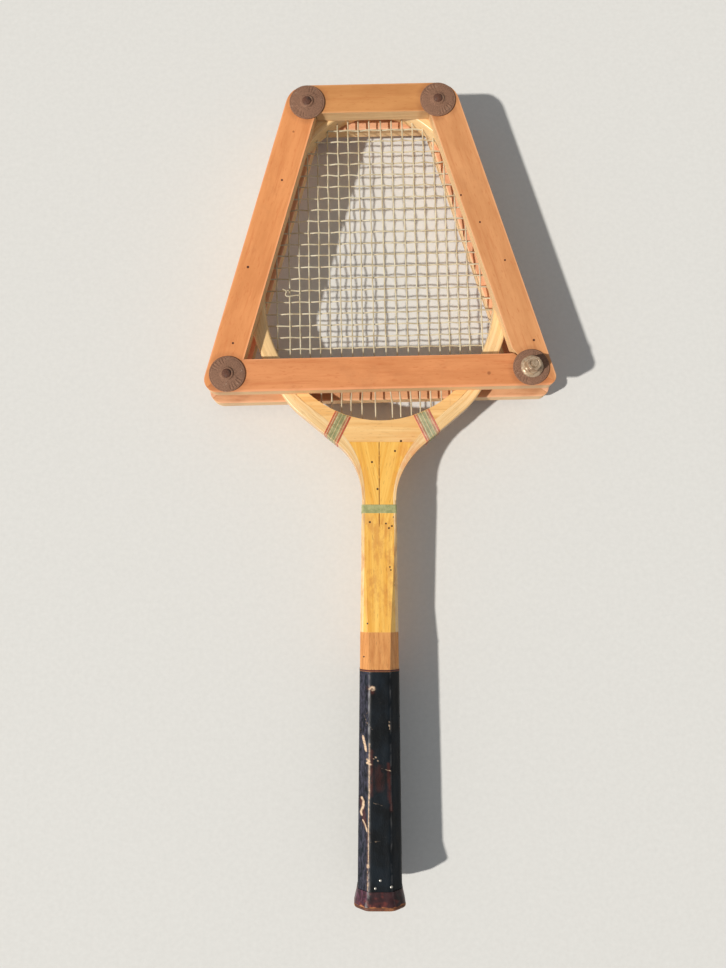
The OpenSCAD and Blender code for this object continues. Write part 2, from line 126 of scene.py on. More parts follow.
def swell(deg):
    """Extra width of the hoop at its shoulders."""
    if deg > SWELL_END:
        return 0.0
    return SHOULDER_W * cos(pi / 2 * (deg - HEAD_START) / (SWELL_END - HEAD_START)) ** 2


def edge(in_head, in_leg, swelled=True):
    """Right-hand edge of the upright racket, moved inwards; matching indices match up."""
    r = THROAT_R + in_leg + PLY_SPREAD * (in_head - in_leg)
    cx = SHAFT_HALF - in_leg + r
    points = [(lerp_station(SHAFT, y)[0] - in_leg, y) for y in LEG_YS]
    points += [(cx - r * cos(radians(a)), THROAT_Y + r * sin(radians(a))) for a in ARC]
    points += [oval(t, HOOP_W - in_head + (swell(t) if swelled else 0)) for t in OVAL]
    return points


def both_sides(right):
    """The whole bow from the left leg's foot over the head to the right leg's foot."""
    left = [(-x, y) for x, y in right[:-1]]
    return [lean(x, y) for x, y in left + right[::-1]]


def press_point(x, y):
    """A point of the upright press, moved to where the turned press has it."""
    c, s = cos(PRESS_TURN), sin(PRESS_TURN)
    return (c * x - s * y, PRESS_Y + s * x + c * y)


# ---------- mesh tools ----------
class Parts:
    """Gathers one piece: points in mm, faces, each face's material and the points' fields."""

    def __init__(self):
        self.verts, self.faces, self.picks, self.fields = [], [], [], {}

    def add(self, verts, faces, pick=0, **fields):
        start = len(self.verts)
        self.verts += verts
        self.faces += [tuple(i + start for i in f) for f in faces]
        self.picks += [pick] * len(faces)
        for key, values in fields.items():
            self.fields.setdefault(key, []).extend(values)

    def make(self, name, body, slot, mats, replaces, sharp=40):
        """Makes the piece, which rides on a body and replaces CAD nodes."""
        me = bpy.data.meshes.new(name)
        me.from_pydata([(x * MM, y * MM, z * MM) for x, y, z in self.verts], [], self.faces)
        for m in mats:
            me.materials.append(m)
        me.polygons.foreach_set("material_index", self.picks)
        for key, values in self.fields.items():
            if isinstance(values[0], float):
                me.attributes.new(key, "FLOAT", "POINT").data.foreach_set("value", values)
            else:
                flat = [c for v in values for c in v]
                me.attributes.new(key, "FLOAT_VECTOR", "POINT").data.foreach_set("vector", flat)
        me.validate()
        me.shade_smooth()
        me.set_sharp_from_angle(angle=radians(sharp))
        piece = bpy.data.objects.new(name, me)
        scene.collection.objects.link(piece)
        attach(piece, body)
        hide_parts(*replaces)


def loft(rings, closed=False, caps=True):
    """Faces between rings of equally many points; each ring is closed."""
    n = len(rings[0])
    verts = [p for ring in rings for p in ring]
    faces = []
    last = len(rings) if closed else len(rings) - 1
    for i in range(last):
        a, b = i * n, ((i + 1) % len(rings)) * n
        faces += [(a + j, a + (j + 1) % n, b + (j + 1) % n, b + j) for j in range(n)]
    if caps and not closed:
        faces += [tuple(range(n - 1, -1, -1)), tuple(range((len(rings) - 1) * n, len(rings) * n))]
    return verts, faces


def tube(points, r, side, sides=8, closed=False):
    """Round tube along points; side is a direction the path never runs along."""
    rings, count = [], len(points)
    side = Vector(side).normalized()
    for i, p in enumerate(points):
        a = points[i - 1] if closed or i else p
        b = points[(i + 1) % count] if closed or i < count - 1 else p
        run = (Vector(b) - Vector(a)).normalized()
        up = side.cross(run).normalized()
        out = run.cross(up)
        rings.append([tuple(Vector(p) + r * (cos(t) * up + sin(t) * out))
                      for t in (2 * pi * k / sides for k in range(sides))])
    return loft(rings, closed)


def rounded(corners, radii, steps=4):
    """2D polygon with its corners rounded; always the same number of points."""
    made, n = [], len(corners)
    for i, p in enumerate(corners):
        p, a, b = Vector(p), Vector(corners[i - 1]), Vector(corners[(i + 1) % n])
        da, db = a - p, b - p
        r = min(radii[i], 0.49 * da.length, 0.49 * db.length)
        p0, p1 = p + da.normalized() * r, p + db.normalized() * r
        for k in range(steps + 1):
            t = k / steps
            q = (1 - t) ** 2 * p0 + 2 * t * (1 - t) * p + t * t * p1
            made.append((q.x, q.y))
    return made


def lathe(profile, seg=48, shape=None):
    """Closed solid of revolution about Z; shape(r, z, angle) may change a point's (r, z)."""
    rings = []
    for k in range(seg):
        a = 2 * pi * k / seg
        ring = []
        for r, z in profile:
            r2, z2 = shape(r, z, a) if shape else (r, z)
            ring.append((r2 * cos(a), r2 * sin(a), z2))
        rings.append(ring)
    return loft(rings, closed=True)


def shift(made, x, y, z=0.0, turn=0.0):
    verts, faces = made
    c, s = cos(turn), sin(turn)
    return [(x + c * a - s * b, y + s * a + c * b, z + d) for a, b, d in verts], faces


# ---------- material tools ----------
def srgb(r, g, b):
    def line(c):
        c /= 255
        return c / 12.92 if c <= 0.04045 else ((c + 0.055) / 1.055) ** 2.4
    return (line(r), line(g), line(b), 1.0)


def scaled(colour, *factors):
    """A colour times one factor, or times one for each channel, held at 1."""
    factors = factors * 3 if len(factors) == 1 else factors
    return tuple(min(1, c * f) for c, f in zip(colour, factors)) + (1,)


class Shade:
    """Builds one node material."""

    def __init__(self, name):
        self.mat = bpy.data.materials.new(name)
        self.mat.use_nodes = True
        self.tree = self.mat.node_tree
        self.bsdf = self.tree.nodes["Principled BSDF"]

    def new(self, kind, inputs=None, **props):
        """A node with these inputs fed and these properties set."""
        n = self.tree.nodes.new(kind)
        for key, value in props.items():
            setattr(n, key, value)
        for key, value in (inputs or {}).items():
            self.feed(n.inputs[key], value)
        return n

    def feed(self, socket, value):
        if isinstance(value, bpy.types.NodeSocket):
            self.tree.links.new(value, socket)
        elif value is not None:
            socket.default_value = value

    def maths(self, op, a, b=None, clamp=False):
        return self.new("ShaderNodeMath", {0: a, 1: b}, operation=op, use_clamp=clamp).outputs[0]

    def plus(self, a, b):
        return self.maths("ADD", a, b)

    def minus(self, a, b, clamp=False):
        return self.maths("SUBTRACT", a, b, clamp)

    def times(self, a, b):
        return self.maths("MULTIPLY", a, b)

    def size(self, a):
        return self.maths("ABSOLUTE", a)

    def mix(self, fac, a, b):
        return self.new("ShaderNodeMix", {0: fac, 6: a, 7: b}, data_type="RGBA").outputs[2]

    def tint(self, colour, mask, amount, shade):
        """Lays another shade over a colour, as strongly as mask times amount."""
        return self.mix(self.times(mask, amount), colour, shade)

    def object_coords(self):
        return self.new("ShaderNodeTexCoord").outputs["Object"]

    def field(self, name, output="Vector"):
        return self.new("ShaderNodeAttribute", attribute_name=name).outputs[output]

    def place(self, vec, scale=(1, 1, 1), offset=(0, 0, 0), turn=0.0):
        return self.new("ShaderNodeMapping", {"Vector": vec, "Scale": scale, "Location": offset,
                                              "Rotation": (0, 0, turn)}).outputs[0]

    def noise(self, vec, scale, detail=3.0, rough=0.55, twist=0.0):
        return self.new("ShaderNodeTexNoise", {"Vector": vec, "Scale": scale, "Detail": detail,
                                               "Roughness": rough, "Distortion": twist}).outputs[0]

    def streaks(self, vec, stretch, *shape, offset=(0, 0, 0)):
        """Noise whose scale along y is this share of the others."""
        return self.noise(self.place(vec, (1, stretch, 1), offset), *shape)

    def cells(self, vec, scale):
        return self.new("ShaderNodeTexVoronoi", {"Vector": vec, "Scale": scale}).outputs[0]

    def ramp(self, value, low, high):
        return self.new("ShaderNodeMapRange", {"Value": value, "From Min": low, "From Max": high},
                        interpolation_type="SMOOTHSTEP").outputs[0]

    def split(self, vec):
        return self.new("ShaderNodeSeparateXYZ", {0: vec}).outputs

    def spot(self, vec, x, y, radius, soft=0.5, stretch=1.0):
        """1 inside a spot on the x-y plane, at a place in mm, stretched along y."""
        flat = self.place(vec, (1, 1 / stretch, 0), (-x * MM, -y * MM / stretch, 0))
        far = self.new("ShaderNodeVectorMath", {0: flat}, operation="LENGTH").outputs["Value"]
        return self.ramp(far, radius * MM, radius * MM * (1 - soft))

    def most(self, values):
        made = values[0]
        for v in values[1:]:
            made = self.maths("MAXIMUM", made, v)
        return made

    def finish(self, colour, rough, height=None, strength=0.4, depth=0.0003, metallic=0.0, **fixed):
        self.feed(self.bsdf.inputs["Base Color"], colour)
        self.feed(self.bsdf.inputs["Roughness"], rough)
        self.feed(self.bsdf.inputs["Metallic"], metallic)
        for key, value in fixed.items():
            self.bsdf.inputs[key.replace("_", " ")].default_value = value
        if height is not None:
            bump = self.new("ShaderNodeBump", {"Strength": strength, "Distance": depth,
                                               "Height": height})
            self.feed(self.bsdf.inputs["Normal"], bump.outputs[0])
        return self.mat


def grain(s, vec, light, dark, seed, long=0.035, flecks=0.5):
    """Wood colour and height on a vector whose y runs along the grain."""
    off = (seed * 1.7, seed * 3.1, seed * 0.9)
    streak = s.streaks(vec, long, 330, 5, 0.62, 0.35, offset=off)
    broad = s.streaks(vec, 0.22, 34, 3, offset=off)
    fine = s.streaks(vec, 0.018, 1500, 3, 0.6, offset=off)
    dash = s.streaks(vec, 0.11, 1250, 2, 0.5, offset=off)
    colour = s.mix(s.ramp(streak, 0.33, 0.7), light, dark)
    colour = s.tint(colour, s.ramp(broad, 0.42, 0.75), 0.35, dark)
    colour = s.tint(colour, s.ramp(fine, 0.5, 0.8), 0.3, scaled(dark, 0.55))
    pores = s.ramp(dash, 0.62, 0.72)
    colour = s.tint(colour, pores, flecks, scaled(dark, 0.35))
    height = s.minus(s.times(fine, 0.7), pores)
    return colour, height, broad


def beech(s, vec, base, seed):
    """Even, pinkish wood with faint lines and short reddish flecks along y."""
    off = (seed * 1.7, seed * 3.1, seed * 0.9)
    soft = s.streaks(vec, 0.2, 70, 5, 0.62, 0.3, offset=off)
    line = s.streaks(vec, 0.04, 420, 4, 0.6, 0.25, offset=off)
    fleck = s.streaks(vec, 0.2, 820, 3, 0.55, offset=off)
    fine = s.streaks(vec, 0.03, 1700, 3, 0.6, offset=off)
    light = scaled(base, 1.12, 1.14, 1.16)
    dark = scaled(base, 0.9, 0.84, 0.78)
    red = scaled(base, 0.8, 0.56, 0.44)
    colour = s.mix(s.ramp(soft, 0.28, 0.74), light, dark)
    colour = s.tint(colour, s.ramp(line, 0.5, 0.72), 0.42, red)
    colour = s.tint(colour, s.ramp(fleck, 0.57, 0.7), 0.42, red)
    colour = s.tint(colour, s.ramp(fine, 0.5, 0.8), 0.2, dark)
    return colour, s.minus(s.times(fine, 0.7), fleck), soft


# ---------- press bars: CAD solids with softened edges ----------
def soften(name, width, segments=2):
    """Rounds the sharp edges of a CAD node by a width in mm, with modifiers only."""
    for kind, settings in (
            ("WELD", {"merge_threshold": 1e-5}),
            ("DECIMATE", {"decimate_type": "DISSOLVE", "angle_limit": radians(0.5)}),
            ("BEVEL", {"width": width * MM, "segments": segments, "limit_method": "ANGLE",
                       "angle_limit": radians(30), "harden_normals": True})):
        modifier = nodes[name].modifiers.new(kind.lower(), kind)
        for key, value in settings.items():
            setattr(modifier, key, value)


def dress(name, mat):
    """Gives a CAD node its material."""
    slots = nodes[name].material_slots
    if not slots:
        nodes[name].data.materials.append(mat)
    for s in slots:
        s.material = mat


def bar_material(name, angle, across, along, seed, base, holes, knots, face_z, worn):
    """Wood of one bar. angle is the bar's run from +Y; across is (low, high) edges in mm
    from the line through its two bolts, which passes through the point along."""
    s = Shade(name)
    vec = s.object_coords()
    c, n = cos(angle), sin(angle)
    line_x = c * along[0] + n * along[1]
    local = s.place(vec, (1, 1, 1), (-line_x * MM, 0, 0), -angle)
    colour, height, broad = beech(s, local, base, seed)
    x, _, z = s.split(local)
    # Upright faces (sides and mitre ends) turn pale grey-cream: partly weathered sawn wood, partly
    # painted reflected light that brightens the bars' sides.
    facing = s.split(s.new("ShaderNodeTexCoord").outputs["Normal"])[2]
    sawn_and_reflected_light = s.ramp(s.size(facing), 0.45, 0.15)
    streak = s.streaks(local, 0.025, 1100, 4, 0.6, offset=(seed, 0, 0))
    side = s.mix(s.ramp(streak, 0.3, 0.85), srgb(242, 210, 160), srgb(206, 160, 112))
    colour = s.tint(colour, sawn_and_reflected_light, 0.85, side)
    rough_line = s.times(s.streaks(local, 0.3, 160, 4), 0.0016)
    marks = []
    for edge_x, strong in zip(across, worn):
        dx = s.size(s.minus(x, edge_x * MM))
        for edge_z in face_z:
            dz = s.size(s.minus(z, edge_z * MM))
            far = s.maths("SQRT", s.plus(s.times(dx, dx), s.times(dz, dz)))
            marks.append(s.ramp(s.plus(far, rough_line), 0.0021 * strong, 0.0009 * strong))
    wear = s.most(marks)
    pale = tuple(min(1, c * 1.22 + 0.07) for c in base) + (1,)
    colour = s.tint(colour, wear, 0.7, pale)
    stains = [s.spot(vec, *press_point(*bolt), 21, 0.22) for bolt in BOLTS.values()]
    dirt = s.times(s.most(stains), s.ramp(broad, 0.3, 0.62))
    colour = s.tint(colour, dirt, 0.35, srgb(150, 92, 56))
    grime = s.noise(vec, 24, 5, 0.7)
    colour = s.tint(colour, s.ramp(grime, 0.52, 0.75), 0.2, srgb(164, 104, 66))
    dents = s.cells(s.place(vec, (1, 1, 1), (seed, 0, 0)), 170)
    height = s.plus(height, s.times(s.ramp(dents, 0.0, 0.12), 0.8))
    if knots:
        knot = s.most([s.spot(vec, kx, ky, r, 0.7) for kx, ky, r in knots])
        colour = s.tint(colour, knot, 0.6, srgb(128, 66, 34))
    if holes:
        # Painted shade: a dark spot stands for the shade inside each worm hole, with a dip in the
        # bump.
        hole_shade = s.most([s.spot(vec, hx, hy, r, 0.35) for hx, hy, r in holes])
        colour = s.mix(hole_shade, colour, srgb(78, 40, 24))
        height = s.minus(height, s.times(hole_shade, 6.0))
    rough = s.plus(s.times(broad, 0.25), 0.48)
    return s.finish(colour, rough, height, 0.35, 0.0002, Specular_IOR_Level=0.35)


# Heights of each bar layer's two faces
FACE_Z = {"front": (9.25, 22.75), "rear": (-22.75, -9.25)}
PRESS_BASE = {"left": srgb(226, 150, 92)[:3], "right": srgb(213, 149, 97)[:3],
              "bottom": srgb(218, 143, 90)[:3], "top": srgb(203, 141, 84)[:3]}
REAR_BASE = [srgb(228, 174, 136)[:3], srgb(216, 162, 118)[:3]]
run = {"left": PRESS_TURN - SIDE_TURN, "right": PRESS_TURN + SIDE_TURN,
       "top": PRESS_TURN + pi / 2, "bottom": PRESS_TURN + pi / 2}
on_line = {"left": BOLTS["bottom_left"], "right": BOLTS["bottom_right"],
           "top": BOLTS["top_left"], "bottom": BOLTS["bottom_left"]}
# Worm holes and knots: (x, y, radius)
worm = {"left": [(-82.9, 599.4, 1.1), (-110.9, 522.4, 1.3), (-122.5, 456.5, 1.1)],
        "right": [(70.1, 586.0, 1.0), (86.0, 562.0, 1.0), (106.7, 528.5, 1.0),
                  (129.7, 459.1, 1.2)]}
knots = {"bottom": [(91.6, 430.9, 2.2)], "left": [(-73.5, 643.0, 1.4)]}
for k, (side, layer) in enumerate((a, b) for b in ("front", "rear") for a in run):
    node = f"{layer}_{side}_bar"
    soften(node, 0.8)
    foot_out, foot_in, top_in = REACH[layer]
    lines = {"left": (-BAR_OUT, BAR_IN), "right": (-BAR_IN, BAR_OUT),
             "top": (-top_in, TOP_OUT), "bottom": (-foot_out, foot_in)}[side]
    worn = (1.5, 1.0) if side == "bottom" else (1.0, 1.2)
    if layer == "front":
        looks = PRESS_BASE[side], worm.get(side), knots.get(side), FACE_Z[layer], worn
    else:
        looks = REAR_BASE[side == "bottom"], None, None, FACE_Z[layer], worn
    dress(node, bar_material(f"press_wood_{layer}_{side}", run[side], lines,
                             press_point(*on_line[side]), 4.1 + 1.73 * k, *looks))

# ---------- racket wood ----------
ASH_LIGHT, ASH_DARK = srgb(250, 218, 164), srgb(232, 188, 126)
YOKE_LIGHT, YOKE_DARK = srgb(250, 206, 140), srgb(232, 176, 104)
GOLD_LIGHT, GOLD_DARK = srgb(255, 204, 104), srgb(238, 172, 68)
BARE_LIGHT, BARE_DARK = srgb(230, 162, 92), srgb(202, 130, 66)
WORMS_THROAT = [(18.5, 375.7, 1.2), (13.4, 367.2, 1.1), (-6.0, 357.8, 1.1), (-1.4, 335.0, 1.1),
                (-7.8, 307.2, 1.1), (12.3, 311.4, 1.0), (5.6, 306.0, 0.9)]
WORMS_SHAFT = [(10.6, 303.9, 1.0), (8.1, 302.2, 1.0), (8.8, 269.9, 0.8), (9.6, 267.4, 0.8),
               (12.9, 255.0, 0.7), (-9.9, 223.5, 0.9), (-12.9, 196.5, 0.8)]


def racket_material(name, light, dark, seed, vector="object", angle=0.0, holes=(), lines=0.0,
                    long=0.03, seam=False):
    """Varnished wood that turns bare below the cheeks' top, with worn and dull places."""
    s = Shade(name)
    vec = s.object_coords()
    local = s.field("grain") if vector == "grain" else s.place(vec, turn=-angle)
    colour, height, broad = grain(s, local, light, dark, seed, long, 0.35)
    x, y, z = s.split(vec)
    if lines:
        gx = s.split(local)[0]
        wave = s.size(s.maths("SINE", s.times(gx, pi / lines)))
        glue = s.ramp(wave, 0.14, 0.03)
        colour = s.tint(colour, glue, 0.34, srgb(166, 104, 54))
    ruddy = s.times(s.spot(vec, 28, 352, 26, 0.9, 1.7), s.ramp(s.noise(vec, 110, 4), 0.3, 0.6))
    colour = s.tint(colour, ruddy, 0.5, srgb(226, 128, 66))
    rosy = s.times(s.spot(vec, -19, 340, 11, 0.9, 3.2),
                   s.ramp(s.streaks(vec, 0.12, 420, 4), 0.42, 0.6))
    colour = s.tint(colour, rosy, 0.55, srgb(206, 118, 80))
    if seam:
        line = s.times(s.ramp(s.size(x), 0.0006, 0.00015), s.ramp(s.noise(vec, 210, 3), 0.3, 0.5))
        colour = s.tint(colour, line, s.ramp(y, 0.298, 0.304), srgb(162, 94, 38))
    rub = s.plus(y, s.times(s.noise(vec, 60, 4), 0.03))
    old = s.times(s.ramp(rub, 0.338, 0.318), s.ramp(rub, 0.225, 0.265))
    patch = s.ramp(s.streaks(vec, 0.45, 150, 5, 0.7), 0.42, 0.62)
    colour = s.tint(colour, s.times(old, patch), 0.4, srgb(186, 104, 54))
    bare = s.ramp(y, 0.2168, 0.2158)
    bare_colour, _, _ = grain(s, local, BARE_LIGHT, BARE_DARK, seed + 1, long, 0.5)
    colour = s.mix(bare, colour, bare_colour)
    if holes:
        # Painted shade: a dark spot stands for the shade inside each worm hole, with a dip in the
        # bump.
        hole_shade = s.most([s.spot(vec, hx, hy, r, 0.4) for hx, hy, r in holes])
        colour = s.mix(hole_shade, colour, srgb(44, 24, 14))
        height = s.minus(height, s.times(hole_shade, 5.0))
    scuff = s.ramp(s.streaks(vec, 0.3, 420, 4, 0.7), 0.6, 0.75)
    colour = s.tint(colour, scuff, 0.25, srgb(150, 100, 62))
    dull = s.maths("MAXIMUM", s.times(bare, 0.7), s.times(scuff, 0.5))
    rough = s.plus(s.times(dull, 0.35), s.plus(s.times(broad, 0.15), 0.25))
    return s.finish(colour, rough, height, 0.22, 0.0002, Coat_Weight=0.25, Coat_Roughness=0.2)


ash = racket_material("ash_laminations", ASH_LIGHT, ASH_DARK, 1.3, "grain", lines=0.0026)
ash_yoke = racket_material("ash_yoke", YOKE_LIGHT, YOKE_DARK, 4.1, angle=radians(90),
                           holes=WORMS_THROAT)
gold_left = racket_material("wedge_wood_left", GOLD_LIGHT, GOLD_DARK, 6.2,
                            angle=radians(12), holes=WORMS_THROAT, seam=True)
gold_right = racket_material("wedge_wood_right", GOLD_LIGHT, GOLD_DARK, 7.7,
                             angle=radians(-12), holes=WORMS_THROAT, seam=True)
gold_core = racket_material("shaft_core_wood", GOLD_LIGHT, GOLD_DARK, 8.8,
                            holes=WORMS_SHAFT + WORMS_THROAT[-3:], seam=True)
bare_wood = racket_material("cheek_wood", GOLD_LIGHT, GOLD_DARK, 9.4, holes=WORMS_SHAFT)

edges = {"outer": both_sides(edge(0, 0)),
         "middle": both_sides(edge(PLY_HEAD, PLY_LEG)),
         "inner": both_sides(edge(2 * PLY_HEAD, 2 * PLY_LEG)),
         "opening": both_sides(edge(HOOP_W, 2 * PLY_LEG, swelled=False))}
GROOVE_HALF = 1.5
# Below this height the plies' edges are sharp, and above it they grow round over a stretch
ROUND_FROM, ROUND_OVER = 395.0, 25.0


def oct_z(y, inset):
    """Half thickness of the wood at height y, this far in from its edge."""
    if y >= THROAT_Y:
        return HALF_T
    _, t, c = lerp_station(SHAFT, y)
    z = min(t, t - c + inset)
    return min(z, CORE_HALF_T) if y < CHEEK_Y else z


def ply(name, near, far, near_round, far_round, replaces, groove=0.0, insets=(0, 0)):
    """Sweeps one ply of the bow between two edges."""
    right_y = [p[1] for p in edge(0, 0)]
    ys = right_y[:-1] + right_y[::-1]
    rings, fields, length = [], [], 0.0
    for i, y in enumerate(ys):
        o, a = Vector(edges[near][i]), Vector(edges[far][i])
        if far == "inner" and y > HORN_Y:
            a = Vector(edges["opening"][i])
        if i:
            length += (o - Vector(edges[near][i - 1])).length
        d = a - o
        w = d.length
        d.normalize()
        z0, z1 = oct_z(y, insets[0]), oct_z(y, insets[1])
        in_head = min(1.0, max(0.0, (y - ROUND_FROM) / ROUND_OVER))
        g = groove * in_head
        corners = [(0, -z0), (w, -z1), (w, z1), (0, z0), (0, GROOVE_HALF),
                   (g, GROOVE_HALF * 0.6), (g, -GROOVE_HALF * 0.6), (0, -GROOVE_HALF)]
        rn = near_round * (0.15 + 0.85 * in_head)
        rf = far_round * in_head + 0.1
        ring2 = rounded(corners, [rn, rf, rf, rn, 0.25, 0.3, 0.3, 0.25])
        rings.append([(o.x + d.x * s, min(o.y + d.y * s, cad_high.y / MM), z) for s, z in ring2])
        fields += [((s + (0 if near == "outer" else PLY_HEAD)) * MM, length * MM, z * MM)
                   for s, z in ring2]
    p = Parts()
    p.add(*loft(rings), grain=fields)
    return p.make(name, "racket", "hoop_ash", [ash], replaces, sharp=35)


ply("hoop_outer_lamination", "outer", "middle", 2.4, 0.12, ["bow_outer_ply"], groove=1.1,
    insets=(0, PLY_LEG))
ply("hoop_inner_lamination", "middle", "inner", 0.12, 2.0, ["bow_inner_ply"],
    insets=(PLY_LEG, 2 * PLY_LEG))
for name, mat, width in (("throat_yoke", ash_yoke, 0.2), ("throat_wedge_left", gold_left, 0.2),
                         ("throat_wedge_right", gold_right, 0.2), ("shaft_core", gold_core, 0.12),
                         ("handle_cheek_front", bare_wood, 0.25),
                         ("handle_cheek_back", bare_wood, 0.25)):
    soften(name, width, 1)
    dress(name, mat)

# ---------- strings ----------


def gut_material():
    s = Shade("old_gut")
    vec = s.object_coords()
    tone = s.noise(vec, 90, 4, 0.6)
    fibre = s.streaks(vec, 1, 2600, 3)
    colour = s.mix(s.ramp(tone, 0.35, 0.7), srgb(222, 210, 180), srgb(186, 168, 134))
    colour = s.tint(colour, s.ramp(fibre, 0.5, 0.75), 0.3, srgb(158, 130, 90))
    return s.finish(colour, s.plus(s.times(tone, 0.2), 0.35), fibre, 0.3,
                    0.0001, Subsurface_Weight=0.05)


gut = gut_material()
# The mains' gaps close slowly outwards
MAIN_FIRST, MAIN_GAP, MAIN_CLOSING = 5.1, 9.7, 0.07
main_half = [MAIN_FIRST + MAIN_GAP * i - MAIN_CLOSING * i * (i + 1) for i in range(9)]
main_half.append(MAIN_LAST)
MAIN_X = [-x for x in main_half[::-1]] + main_half
CROSS_Y = [CROSS_FIRST - CROSS_PITCH * j for j in range(CROSSES)]
WEAVE, BURIED, STRING_STEP, END_FADE = 0.62, 4.0, 1.7, 12
jog_main = [[random.uniform(-0.22, 0.22) for _ in CROSS_Y] for _ in MAIN_X]
jog_cross = [[random.uniform(-0.2, 0.2) for _ in MAIN_X] for _ in CROSS_Y]
jog_x = [random.uniform(-0.2, 0.2) for _ in MAIN_X]
jog_y = [random.uniform(-0.2, 0.2) for _ in CROSS_Y]


def ease(points, at):
    """Values at places, eased by a cosine between known (place, value) pairs."""
    if at <= points[0][0]:
        return points[0][1] * max(0.0, 1 - (points[0][0] - at) / END_FADE)
    if at >= points[-1][0]:
        return points[-1][1] * max(0.0, 1 - (at - points[-1][0]) / END_FADE)
    for (a, va), (b, vb) in zip(points, points[1:]):
        if at <= b:
            t = (1 - cos(pi * (at - a) / (b - a))) / 2
            return va + (vb - va) * t


def head_span(x):
    """Lowest and highest y of the upright head's opening at x."""
    rise = sqrt(max(0.0, 1 - (x / INNER_A) ** 2))
    return HEAD_Y - HEAD_DOWN * rise, HEAD_Y + HEAD_UP * rise


def head_half(y):
    """Half width of the upright head's opening at y."""
    reach = HEAD_UP if y > HEAD_Y else HEAD_DOWN
    return INNER_A * sqrt(max(0.0, 1 - ((y - HEAD_Y) / reach) ** 2))


# How far each main's lower end strays, by its number from the left; it fades out upwards
FOOT_DRIFT = {6: -1.1, 7: -2.2, 8: -2.0, 10: 4.1, 11: 1.6, 12: 1.3}
DRIFT_TOP, DRIFT_FADE = 442, 32
mains, crosses = Parts(), Parts()


def weave(parts, low, high, over, jogs, put, side):
    """A string from low to high; over and jogs hold (place, offset) pairs of its crossings."""
    steps = int((high - low) / STRING_STEP)
    places = [low + (high - low) * k / steps for k in range(steps + 1)]
    parts.add(*tube([put(at, ease(jogs, at), ease(over, at)) for at in places], STRING_R, side))


def foot_drift(i, y):
    return FOOT_DRIFT.get(i, 0.0) * min(1.0, max(0.0, (DRIFT_TOP - y) / DRIFT_FADE))


for i, x in enumerate(MAIN_X):
    low, high = head_span(x)
    low, high = low - BURIED, high + BURIED
    met = sorted((y, j) for j, y in enumerate(CROSS_Y) if low < y < high)
    weave(mains, low, high, [(y, WEAVE * (-1) ** (i + j)) for y, j in met],
          [(y, jog_main[i][j]) for y, j in met],
          lambda y, jog, z: lean_head(x + jog_x[i] + jog + foot_drift(i, y), y, z), (1, 0, 0))
for j, y in enumerate(CROSS_Y):
    half = head_half(y) + BURIED
    met = [(x, i) for i, x in enumerate(MAIN_X) if abs(x) < half]
    weave(crosses, -half, half, [(x, -WEAVE * (-1) ** (i + j)) for x, i in met],
          [(x, jog_cross[j][i]) for x, i in met],
          lambda x, jog, z: lean_head(x, y + jog_y[j] + jog, z), (0, 1, 0))

# Loops of string in the groove outside the hoop
outer = edges["outer"]
LOOP_R = 0.55


def outer_loop(parts, i0, i1, z0, z1):
    """A string that runs round the hoop's outside from one of its points to another."""
    step = 1 if i1 > i0 else -1
    path, picks = [], list(range(i0, i1 + step, step))
    for n, i in enumerate(picks):
        t = n / max(1, len(picks) - 1)
        ox, oy = outer[i]
        mx, my = edges["middle"][i]
        d = Vector((mx - ox, my - oy)).normalized()
        deep = LOOP_R + (3.0 if n in (0, len(picks) - 1) else 0.0)
        path.append((ox + d.x * deep, oy + d.y * deep, z0 + (z1 - z0) * t))
    if len(path) > 3:
        parts.add(*tube(path, LOOP_R, (0, 0, 1), 6))


def nearest(u, v):
    """Index of the outer edge's point that is closest to a point of the upright head."""
    x, y = lean_head(u, v)[:2]
    return min(range(len(outer)), key=lambda i: (outer[i][0] - x) ** 2 + (outer[i][1] - y) ** 2)


tops = [nearest(x, head_span(x)[1] + HOOP_W) for x in MAIN_X]
for a in range(0, len(MAIN_X) - 1, 2):
    outer_loop(mains, tops[a], tops[a + 1], 0.5, -0.5)
for sign in (-1, 1):
    ends = [nearest(sign * (head_half(y) + HOOP_W), y) for y in CROSS_Y]
    for a in range(1 if sign > 0 else 0, len(CROSS_Y) - 1, 2):
        outer_loop(crosses, ends[a], ends[a + 1], -0.5, 0.5)
# A broken end hooks up beside the left bar
hook = [(-68.6, 505.1, 1.3), (-71.5, 504.9, 1.9), (-75.0, 504.2, 2.3), (-78.4, 503.5, 3.0),
        (-80.1, 503.7, 3.5), (-80.8, 504.5, 3.8), (-80.5, 505.6, 4.1), (-80.0, 506.7, 4.4),
        (-80.2, 507.7, 4.7), (-81.2, 508.4, 5.0), (-83.9, 509.2, 5.4)]
mains.add(*tube(hook, LOOP_R, (0, 0, 1), 6))
mains.make("woven_mains", "racket", "string_gut", [gut], ["main_strings"])
crosses.make("woven_crosses", "racket", "string_gut", [gut], ["cross_strings"])

# ---------- thread whippings ----------


def thread_material(name, light, dark):
    s = Shade(name)
    vec = s.object_coords()
    tone = s.noise(vec, 260, 4, 0.65)
    fibre = s.noise(vec, 3800, 3)
    colour = s.mix(s.ramp(tone, 0.35, 0.65), light, dark)
    colour = s.tint(colour, s.ramp(fibre, 0.45, 0.7), 0.35, scaled(dark, 0.5))
    return s.finish(colour, s.plus(s.times(tone, 0.25), 0.35), fibre, 0.5,
                    0.00015, Coat_Weight=0.2, Coat_Roughness=0.3)


green_thread = thread_material("green_thread", srgb(180, 180, 132), srgb(142, 144, 100))
red_thread = thread_material("red_thread", srgb(220, 116, 86), srgb(190, 84, 62))
straw_thread = thread_material("straw_thread", srgb(228, 208, 160), srgb(200, 178, 128))
olive_thread = thread_material("olive_thread", srgb(198, 196, 142), srgb(166, 170, 116))
THREAD_R, THREAD_STEP = 0.36, 0.76
WHIP_Y, WHIP_W, WHIP_TURN = 389.5, 14, 26
BAND_LOW, BAND_TURNS, BAND_STEP, BAND_R = 314.6, 12, 0.6, 0.3


